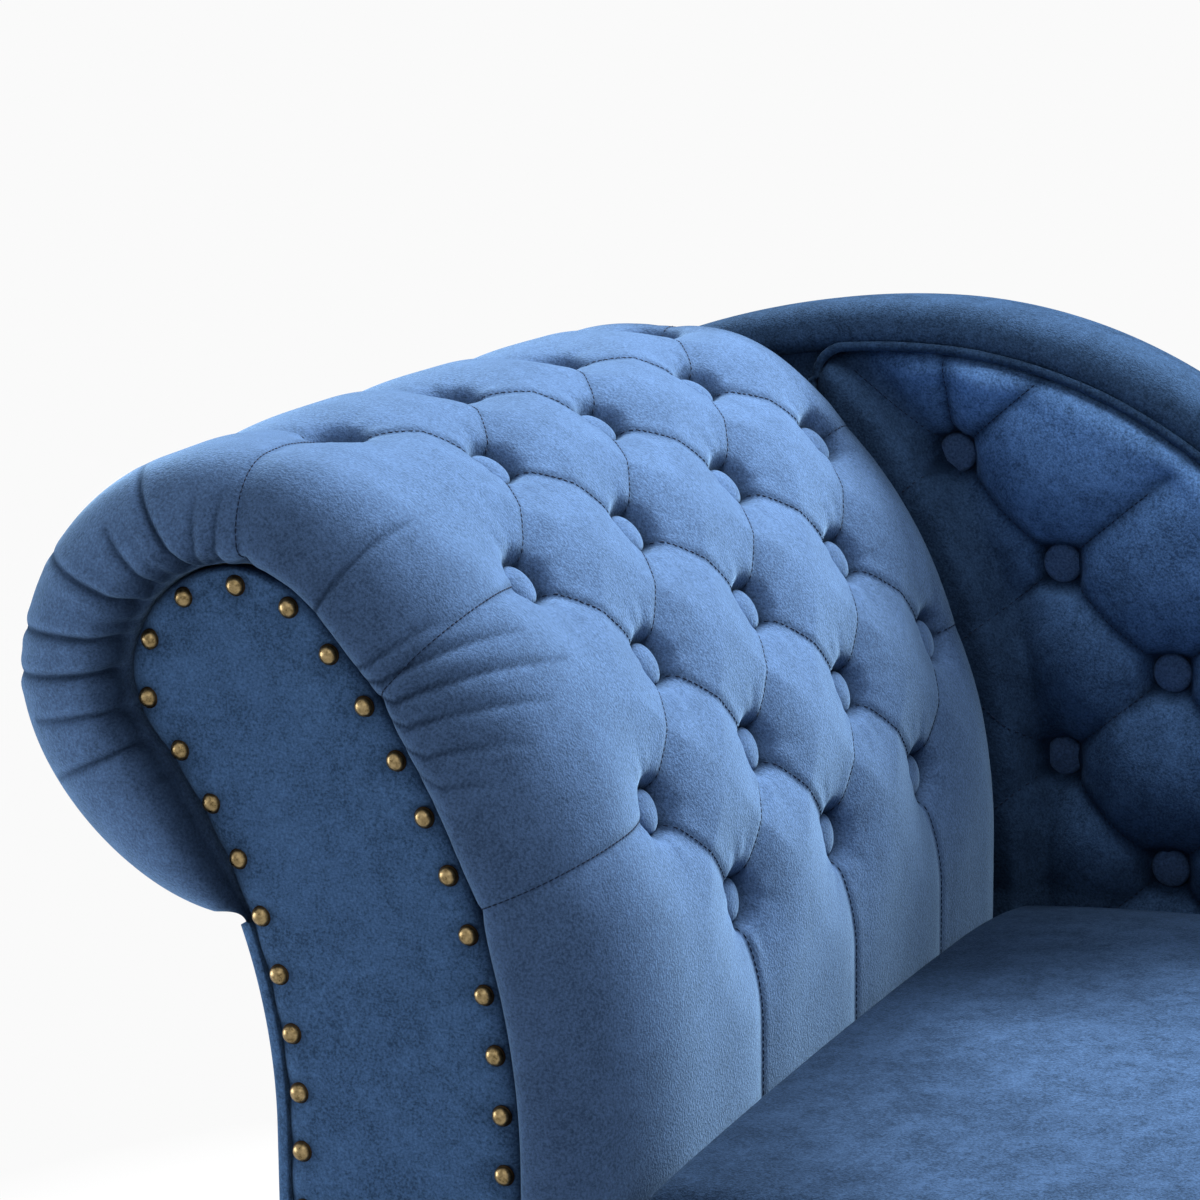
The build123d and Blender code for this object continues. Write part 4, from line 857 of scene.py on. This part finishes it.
def arm_outside_panel():
    """The cloth panel down the outer side of the arm, from under the roll to the lower edge."""
    path = scroll_outline(0.0, FLOOR_GAP, FLOOR_GAP + 0.5)
    distance = np.linspace(path.length - 420, path.length, 900)
    below_roll = path.at(distance)[0][:, 1] < ROLL_END_Z + 2.0
    share = np.linspace(distance[np.argmax(below_roll)], path.length, 91)
    spots, ways = path.at(share)
    outward = np.stack([ways[:, 1], -ways[:, 0]], -1)
    y = np.concatenate([FACING_Y + 1.5 + eased(14, 11), np.linspace(FACING_Y + 15.5, BOARD_FRONT_Y, 123)[1:]])
    to_end = np.minimum(share - share[0] + 6, share[-1] - share)
    edge = np.minimum.outer(to_end, np.minimum(y - y[0], y[-1] - y))
    rise = 1.0 + 8.0 * swell(edge / 8.0, 0.55)
    rise += 0.25 * np.sin(y / 47.0) * np.sin(share / 53.0)[:, None]
    # The cloth and its lining follow the hollow side, joined round the edge
    rise = np.concatenate([rise, np.full_like(rise, 0.1), rise[:, :1]], axis=1)
    y = np.broadcast_to(np.concatenate([y, y[::-1], y[:1]]), rise.shape)
    piece = woven_grid("arm_outside_panel_velvet", set_off(spots, outward, rise, y), "crushed_velvet")
    stuffed(piece, "arm_outside_panel")


# Seat and border
def quarter_fall(gap, radius):
    """How far a rounded edge has fallen at a distance from the edge."""
    short = np.clip(radius - gap, 0, radius)
    return radius - np.sqrt(radius**2 - short**2)


def eased(radius, steps):
    return radius * (1 - np.cos(np.linspace(0, math.pi / 2, steps)))


def seat():
    """The sprung seat: crowned both ways, round at the front and foot, pressed to the arm and the back."""
    head, foot = PAD_IN_X + 0.3, FOOT_X
    x = np.concatenate([
        head + eased(SEAT_PRESSED, 9), np.linspace(head + SEAT_PRESSED, foot - SEAT_ROUND, 171)[1:-1],
        foot - eased(SEAT_ROUND, 13)[::-1],
    ])
    to_foot, to_head = foot - x, x - head
    corner = quarter_fall(to_foot, SEAT_CORNER)
    y_low = FACING_Y + corner
    tail = 1 / (1 + np.exp(-(x - TAIL_X - 3) / 2.0))
    y_high = BACK_PAD_Y - 0.5 + (SEAT_REAR_Y - BACK_PAD_Y + 0.5) * tail - corner
    fall = np.maximum(quarter_fall(to_foot, SEAT_ROUND), quarter_fall(to_head, SEAT_PRESSED))
    crown = 6 + 13 * np.sin(math.pi * unit((x - head) / (foot - head))) ** 0.6
    middle = (FACING_Y + SEAT_REAR_Y) / 2
    half = (SEAT_REAR_Y - FACING_Y) / 2
    side = np.linspace(0, 1, 9)[:-1]
    sections, painted_shade = [], []
    for place, low, high, drop, rise in zip(x, y_low, y_high, fall, crown):
        rear_round = SEAT_PRESSED if place < TAIL_X else SEAT_ROUND
        y = np.concatenate([
            low + eased(SEAT_ROUND, 11), np.linspace(low + SEAT_ROUND, high - rear_round, 111)[1:-1],
            high - eased(rear_round, 11)[::-1],
        ])
        z = SEAT_Z + SEAT_LIFT + rise * (1 - np.clip((y - middle) / half, -1, 1) ** 2)
        z -= SEAT_FALL * max(0, 1 - (place - head) / 150) ** 2
        z -= 9 * unit(1 - (high - y) / 110) ** 2 * (place < TAIL_X)
        z -= np.hypot(np.maximum(quarter_fall(y - low, SEAT_ROUND), quarter_fall(high - y, rear_round)), drop)
        inner = unit(np.minimum(y - low, high - y) / 60)
        inner *= min(1, (place - head) / 60, (foot - place) / 60)
        z += 0.9 * inner * np.sin(place / 71.0 + y / 113.0) * np.sin(y / 67.0)
        front_face = SEAT_BASE_Z + (z[0] - SEAT_BASE_Z) * side
        rear_face = (SEAT_BASE_Z + (z[-1] - SEAT_BASE_Z) * side)[::-1]
        y = np.concatenate([[middle], low - 3.0 * np.sin(math.pi * side), y, np.full(8, high), [middle]])
        z = np.concatenate([[SEAT_BASE_Z], front_face, z, rear_face, [SEAT_BASE_Z]])
        sections.append(np.stack([np.full_like(y, place), y, z], -1))
        # Painted shade next to the arm and along the back
        near_arm = (place - head) / (120 + 40 * np.sin(y / 63.0) + 25 * np.sin(y / 29.0 + place / 50))
        painted_shade.append(0.72 * bell(near_arm, 1.0) + 0.3 * bell(high - y, 14))
    places = np.array(sections)
    places[:, -1] = places[:, 0]
    stuffed(woven_grid("seat_pad_velvet", places, "seat_velvet_painted_shade", np.array(painted_shade)), "seat_pad")


def seat_border():
    """The padded strip round the rails, with a sewn hem above its lower edge."""
    x, y = FOOT_X - SEAT_CORNER, SEAT_REAR_Y - SEAT_CORNER
    path = Outline().line((ARM_IN_X + 0.5, FACING_Y), (x, FACING_Y))
    path.arc((x, FACING_Y + SEAT_CORNER), SEAT_CORNER, -90, 0)
    path.line((FOOT_X, FACING_Y + SEAT_CORNER), (FOOT_X, y))
    path.arc((x, y), SEAT_CORNER, 0, 90).line((x, SEAT_REAR_Y), (TAIL_X + 0.5, SEAT_REAR_Y))
    distance = np.linspace(0, path.length, 621)
    spots, ways = path.at(distance)
    inward = np.stack([-ways[:, 1], ways[:, 0]], -1)
    top = np.where(spots[:, 0] < PAD_IN_X + 1, RAIL_TOP - 0.5, SEAT_BASE_Z)[:, None]
    face = np.linspace(0, 1, 41)
    z = FLOOR_GAP + 0.5 + (top - FLOOR_GAP - 0.5) * face
    edge = np.minimum(z - FLOOR_GAP, top - z)
    inset = 3.4 - 4.6 * swell(edge / 12.0, 0.6) + 1.0 * bell(z - FLOOR_GAP - 13, 1.7)
    inset -= 0.4 * np.sin(distance / 61.0)[:, None] * np.sin(z / 31.0) * unit(edge / 15)
    inset = np.concatenate([inset, np.full((len(distance), 2), 9.5), inset[:, :1]], axis=1)
    z = np.concatenate([z, z[:, 40:41], z[:, :1], z[:, :1]], axis=1)
    places = np.stack([spots[:, :1] + inward[:, :1] * inset, spots[:, 1:] + inward[:, 1:] * inset, z], -1)
    places[:, -1] = places[:, 0]
    stuffed(woven_grid("seat_border_velvet", places, "crushed_velvet"), "seat_border")


def dust_cover():
    """The thin black cloth under the rails, slack between them and cut round the legs."""
    bm = bmesh.new()
    bmesh.ops.create_grid(bm, x_segments=110, y_segments=51, size=1.0)
    cut_away = []
    for vert in bm.verts:
        x, y = (DUST_MIDDLE[n] + DUST_HALF[n] * vert.co[n] for n in range(2))
        sag = (math.cos(math.pi / 2 * vert.co.x) * math.cos(math.pi / 2 * vert.co.y)) ** 0.7
        ripple = math.sin(x / 31) * math.sin(y / 47 + x / 90)
        for leg_x, leg_y in LEG_SPOTS:
            far = math.hypot(x - leg_x, y - leg_y)
            if far < LEG_HOLE - 7.5:
                cut_away.append(vert)
            elif far < LEG_HOLE + 5.5:
                x, y = leg_x + (x - leg_x) * LEG_HOLE / far, leg_y + (y - leg_y) * LEG_HOLE / far
        vert.co = Vector((x, y, FLOOR_GAP - 0.2 - (4.5 + 0.6 * ripple) * sag)) * MM
    bmesh.ops.delete(bm, geom=cut_away, context="VERTS")
    bmesh.ops.remove_doubles(bm, verts=bm.verts, dist=1e-5)
    bmesh.ops.recalc_face_normals(bm, faces=bm.faces)
    bmesh.ops.solidify(bm, geom=bm.faces[:], thickness=0.7 * MM)
    bmesh.ops.recalc_face_normals(bm, faces=bm.faces)
    piece = finish_piece(bm, "dust_cover_cloth", "dust_cloth")
    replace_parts(piece, "dust_cover")


# Shader nodes
class Shade:
    """A node socket that takes part in Python expressions."""

    def __init__(self, tree, socket):
        self.tree = tree
        self.socket = socket

    def make(self, kind, settings=None, out=0, **inputs):
        node = self.tree.nodes.new(kind)
        for name, value in (settings or {}).items():
            setattr(node, name, value)
        for name, value in inputs.items():
            key = int(name[1:]) if name[0] == "i" and name[1:].isdigit() else name.replace("_", " ")
            if isinstance(value, Shade):
                self.tree.links.new(value.socket, node.inputs[key])
            else:
                node.inputs[key].default_value = value
        return Shade(self.tree, node.outputs[out])

    def maths(self, operation, first, second):
        return self.make("ShaderNodeMath", {"operation": operation}, i0=first, i1=second)

    def __add__(self, other):
        return self.maths("ADD", self, other)

    def __radd__(self, other):
        return self.maths("ADD", other, self)

    def __sub__(self, other):
        return self.maths("SUBTRACT", self, other)

    def __rsub__(self, other):
        return self.maths("SUBTRACT", other, self)

    def __mul__(self, other):
        return self.maths("MULTIPLY", self, other)

    def __rmul__(self, other):
        return self.maths("MULTIPLY", other, self)

    def __pow__(self, other):
        return self.maths("POWER", self, other)

    def ramp(self, low, high):
        return self.make("ShaderNodeMapRange", Value=self, From_Min=low, From_Max=high)

    def mix(self, first, second):
        return self.make("ShaderNodeMix", {"data_type": "RGBA"}, out=2, i0=self, i6=first, i7=second)


def start_finish(name, **constants):
    """A material with constants on its shader's sockets, then a node maker, the shader and coordinates."""
    material = bpy.data.materials.new(name)
    material.use_nodes = True
    tree = material.node_tree
    shader = next(node for node in tree.nodes if node.type == "BSDF_PRINCIPLED")
    for key, value in constants.items():
        shader.inputs[key.replace("_", " ")].default_value = value
    maker = Shade(tree, None)
    return material, maker, shader, maker.make("ShaderNodeTexCoord", out=3)


def feed(shader, **links):
    for key, value in links.items():
        value.tree.links.new(value.socket, shader.inputs[key.replace("_", " ")])


def noise(maker, coords, scale, detail=3.0, rough=0.55, twist=0.0):
    return maker.make(
        "ShaderNodeTexNoise", Vector=coords, Scale=scale, Detail=detail, Roughness=rough, Distortion=twist
    )


def show(maker, shade):
    output = next(node for node in maker.tree.nodes if node.type == "OUTPUT_MATERIAL")
    maker.tree.links.new(shade.socket, output.inputs["Surface"])


def velvet(name, sheen, pressed, tone, deep=0.0):
    """Short-pile velvet: pressed patches in the nap, fine fibre grain, and painted shade in the sewn creases
    and wherever else the crease value is high.
    """
    material, maker, shader, coords = start_finish(
        name, Sheen_Weight=sheen, Sheen_Roughness=0.4, Sheen_Tint=(0.4, 0.66, 1.0, 1), Specular_IOR_Level=0.0
    )
    patches = noise(maker, coords, 42.0, 4.0, 0.6, 0.35).ramp(0.34, 0.66)
    crushed = noise(maker, coords, 190.0, 3.0, 0.65, 0.5).ramp(0.32, 0.68)
    grain = noise(maker, coords, 700.0, 2.0, 0.65).ramp(0.28, 0.72)
    crease = maker.make("ShaderNodeAttribute", {"attribute_name": "crease"}, out=2)
    nap = (patches * 0.5 + crushed * 0.5 - 0.5) * pressed + (grain - 0.5) * (0.6 + 0.4 * pressed) + 0.5
    dark = Vector((0.022 - 0.005 * deep, 0.047, 0.098 + 0.006 * deep)) * tone
    pile = nap.mix((*dark, 1), (*dark * 3, 1))
    pile_height = grain + crushed * (0.5 * pressed - 0.2)
    bump = maker.make("ShaderNodeBump", Strength=0.3, Distance=0.0012, Height=pile_height)
    feed(shader, Base_Color=pile, Roughness=0.95 - nap * 0.2, Normal=bump)
    # A near-black diffuse mixed in by the crease value: painted shade
    painted_shade_bsdf = maker.make("ShaderNodeBsdfDiffuse", Color=(0.003, 0.007, 0.017, 1), Roughness=0.9)
    lit = Shade(maker.tree, shader.outputs[0])
    show(maker, maker.make("ShaderNodeMixShader", i0=crease * 0.9, i1=lit, i2=painted_shade_bsdf))
    return material


def plain_wood(name, dark, light, rough, turn):
    material, maker, shader, coords = start_finish(name, Coat_Weight=0.15, Coat_Roughness=0.3)
    stretched = maker.make("ShaderNodeMapping", Vector=coords, Scale=turn)
    grain = noise(maker, stretched, 55.0, 6.0, 0.6, 1.2)
    pores = noise(maker, stretched, 240.0, 3.0)
    tone = (grain * 0.75 + pores * 0.25).ramp(0.3, 0.7)
    bump = maker.make("ShaderNodeBump", Strength=0.15, Distance=0.0006, Height=pores)
    feed(shader, Base_Color=tone.mix(dark, light), Roughness=rough + tone * 0.12, Normal=bump)
    return material


def aged_brass():
    material, maker, shader, coords = start_finish("antique_brass", Metallic=1.0)
    tarnish = noise(maker, coords, 420.0, 4.0, 0.6).ramp(0.35, 0.7)
    rim = maker.make("ShaderNodeAttribute", {"attribute_name": "crease"}, out=2)
    worn = tarnish.mix((0.14, 0.1, 0.045, 1), (0.36, 0.27, 0.14, 1))
    colour = rim.mix(worn, (0.02, 0.012, 0.007, 1))
    bump = maker.make("ShaderNodeBump", Strength=0.2, Distance=0.0003, Height=tarnish)
    feed(shader, Base_Color=colour, Roughness=0.26 + rim * 0.3 + tarnish * 0.1, Normal=bump)
    return material


def simple_cloth(name, dark, light, scale, sheen=0.2):
    material, maker, shader, coords = start_finish(name, Sheen_Weight=sheen, Specular_IOR_Level=0.15)
    weave = maker.make("ShaderNodeTexWave", Vector=coords, Scale=scale, Distortion=1.5)
    cross = maker.make(
        "ShaderNodeTexWave", {"bands_direction": "Y"}, Vector=coords, Scale=scale, Distortion=1.5
    )
    cloth = weave * 0.5 + cross * 0.5
    bump = maker.make("ShaderNodeBump", Strength=0.4, Distance=0.0004, Height=cloth)
    feed(shader, Base_Color=cloth.mix(dark, light), Roughness=0.9 - cloth * 0.1, Normal=bump)
    return material


def speckled(name, dark, light, scale, detail, rough, metal=0.0):
    material, maker, shader, coords = start_finish(name, Metallic=metal)
    grain = noise(maker, coords, scale, detail)
    feed(shader, Base_Color=grain.mix(dark, light), Roughness=rough + grain * 0.2)
    return material


finishes = {
    "velvet": velvet("velvet", 0.52, 0.4, 1.12, -0.7),
    "crushed_velvet": velvet("crushed_velvet", 0.25, 0.6, 0.95),
    # A copy of the velvet at twice the tone, darkened lower down by the pad's crease value: painted light on
    # the top of the back
    "back_velvet_painted_light": velvet("back_velvet_painted_light", 0.3, 0.8, 2.0),
    # A darker copy of the velvet for the seat: painted shade
    "seat_velvet_painted_shade": velvet("seat_velvet_painted_shade", 0.2, 0.9, 0.66, -0.4),
    # A darker copy of the velvet for the band and piping: painted shade
    "band_velvet_painted_shade": velvet("band_velvet_painted_shade", 0.1, 0.7, 0.46),
    "hardwood": plain_wood("hardwood", (0.42, 0.27, 0.14, 1), (0.68, 0.5, 0.31, 1), 0.6, (0.08, 1, 1)),
    "plywood": plain_wood("plywood", (0.5, 0.36, 0.2, 1), (0.72, 0.56, 0.36, 1), 0.65, (0.2, 1, 0.2)),
    "leg_wood": plain_wood("leg_wood", (0.022, 0.01, 0.005, 1), (0.1, 0.045, 0.02, 1), 0.28, (1, 1, 0.09)),
    "antique_brass": aged_brass(),
    "steel": speckled("steel", (0.45, 0.45, 0.47, 1), (0.65, 0.65, 0.67, 1), 300.0, 4.0, 0.3, 1.0),
    "webbing": simple_cloth("webbing", (0.02, 0.02, 0.022, 1), (0.09, 0.09, 0.1, 1), 180.0),
    "hessian": simple_cloth("hessian", (0.3, 0.21, 0.12, 1), (0.6, 0.46, 0.3, 1), 140.0),
    "twine": simple_cloth("twine", (0.5, 0.45, 0.35, 1), (0.8, 0.75, 0.62, 1), 400.0),
    "dust_cloth": simple_cloth("dust_cloth", (0.008, 0.008, 0.008, 1), (0.03, 0.03, 0.03, 1), 500.0),
    "glide": speckled("glide", (0.02, 0.02, 0.02, 1), (0.05, 0.05, 0.05, 1), 600.0, 3.0, 0.5),
    # Navy thread made near black: partly the thread's colour, partly painted shade in the stitch holes
    "seam_thread_and_shade": simple_cloth("seam_thread_and_shade", (0.004, 0.009, 0.024, 1), (0.01, 0.022, 0.055, 1), 900.0, 0.0),
}
for entry in frame["record"]["subparts"]:
    node = frame["nodes"][entry["node"]]
    node.data.materials.clear()
    node.data.materials.append(finishes[entry["material_slot"]])

arm_pad()
back_pad()
facing()
nails()
back_band()
back_piping()
back_outside_panel()
arm_outside_panel()
seat()
seat_border()
dust_cover()


# Camera, light and floor
PALE = (0.956, 0.956, 0.956, 1)
SENSOR_MM = 36.0
PHOTO_PIXELS, FOCAL_PIXELS = 1200, 4604.5
PHOTO_CENTRE = (613.6, 598.4)
CAMERA_PLACE = (0.46698, -2.27228, 1.22241)
CAMERA_YAW, CAMERA_PITCH, CAMERA_ROLL = math.radians(24.19), math.radians(12.90), math.radians(-0.43)


def photo_camera():
    """The camera at the photograph's place and angle, with the photograph's own centre."""
    yaw, pitch, roll = CAMERA_YAW, CAMERA_PITCH, CAMERA_ROLL
    ahead = Vector((-math.sin(yaw) * math.cos(pitch), math.cos(yaw) * math.cos(pitch), -math.sin(pitch)))
    right = Vector((math.cos(yaw), math.sin(yaw), 0))
    up = right.cross(ahead)
    right, up = right * math.cos(roll) + up * math.sin(roll), up * math.cos(roll) - right * math.sin(roll)
    data = bpy.data.cameras.new("photo_camera")
    data.sensor_fit = "HORIZONTAL"
    data.sensor_width = SENSOR_MM
    data.lens = SENSOR_MM * FOCAL_PIXELS / PHOTO_PIXELS
    data.shift_x = (PHOTO_PIXELS / 2 - PHOTO_CENTRE[0]) / PHOTO_PIXELS
    data.shift_y = (PHOTO_CENTRE[1] - PHOTO_PIXELS / 2) / PHOTO_PIXELS
    data.clip_end = 50
    camera = bpy.data.objects.new("photo_camera", data)
    axes = Matrix([(right[n], up[n], -ahead[n]) for n in range(3)]).to_4x4()
    camera.matrix_world = Matrix.Translation(CAMERA_PLACE) @ axes
    bpy.context.scene.collection.objects.link(camera)
    bpy.context.scene.camera = camera


def soft_lamp(name, place, aim, size, power):
    data = bpy.data.lights.new(name, "AREA")
    data.shape = "RECTANGLE"
    data.size, data.size_y = size
    data.energy = power
    lamp = bpy.data.objects.new(name, data)
    lamp.location = place
    lamp.rotation_euler = (Vector(aim) - Vector(place)).to_track_quat("-Z", "Y").to_euler()
    bpy.context.scene.collection.objects.link(lamp)


def seen_directly(maker):
    """1 where the camera looks, also through a reflection or a see-through piece."""
    seen = maker.make("ShaderNodeLightPath")
    rays = seen.socket.node.outputs
    for ray in ("Is Glossy Ray", "Is Transmission Ray"):
        seen = maker.maths("MAXIMUM", seen, Shade(maker.tree, rays[ray]))
    return seen


def pale_room():
    """A flat pale floor under a world backdrop of the same tone, white to the camera and in reflections."""
    world = bpy.data.worlds.new("studio")
    bpy.context.scene.world = world
    world.use_nodes = True
    tree = world.node_tree
    background = next(node for node in tree.nodes if node.type == "BACKGROUND")
    tone = seen_directly(Shade(tree, None)).mix((0.22, 0.225, 0.24, 1), PALE)
    tree.links.new(tone.socket, background.inputs["Color"])
    bm = bmesh.new()
    bmesh.ops.create_grid(bm, x_segments=2, y_segments=2, size=14.0)
    mesh = bpy.data.meshes.new("floor")
    bm.to_mesh(mesh)
    bm.free()
    floor = bpy.data.objects.new("floor", mesh)
    bpy.context.scene.collection.objects.link(floor)
    material, maker, shader, coords = start_finish("floor", Roughness=0.6, Specular_IOR_Level=0.2)
    grain = noise(maker, coords, 3.0, 2.0)
    feed(shader, Base_Color=grain.mix((0.86, 0.86, 0.86, 1), (0.88, 0.88, 0.88, 1)))
    glow = maker.make("ShaderNodeEmission", Color=PALE, Strength=1.0)
    lit = Shade(maker.tree, shader.outputs[0])
    # The shadow shows most within reach of the chaise and fades out past it
    beyond = []
    for axis, half in ((0, FOOT_X * MM), (1, REAR_Y * MM)):
        spot = maker.make("ShaderNodeSeparateXYZ", out=axis, Vector=coords)
        beyond.append(maker.maths("MAXIMUM", maker.maths("ABSOLUTE", spot, 0.0) - half, 0.0))
    away = ((beyond[0] * beyond[0] + beyond[1] * beyond[1]) ** 0.5).ramp(0.15, 0.65)
    direct = seen_directly(maker)
    show(maker, maker.make("ShaderNodeMixShader", i0=direct * (0.8 + away * 0.2), i1=lit, i2=glow))
    mesh.materials.append(material)


bpy.context.scene.view_settings.view_transform = "Standard"
photo_camera()
pale_room()
soft_lamp("key", (0.05, 2.5, 3.0), (-0.5, -0.05, 0.6), (1.5, 1.5), 450)
soft_lamp("top", (0.35, -0.15, 2.6), (0.0, 0.1, 0.5), (1.2, 0.8), 38)
soft_lamp("left", (-2.9, -0.9, 0.55), (-0.6, 0.0, 0.6), (1.4, 1.0), 32)
soft_lamp("front", (0.2, -2.9, 2.4), (-0.3, 0.2, 0.6), (1.4, 1.4), 8)
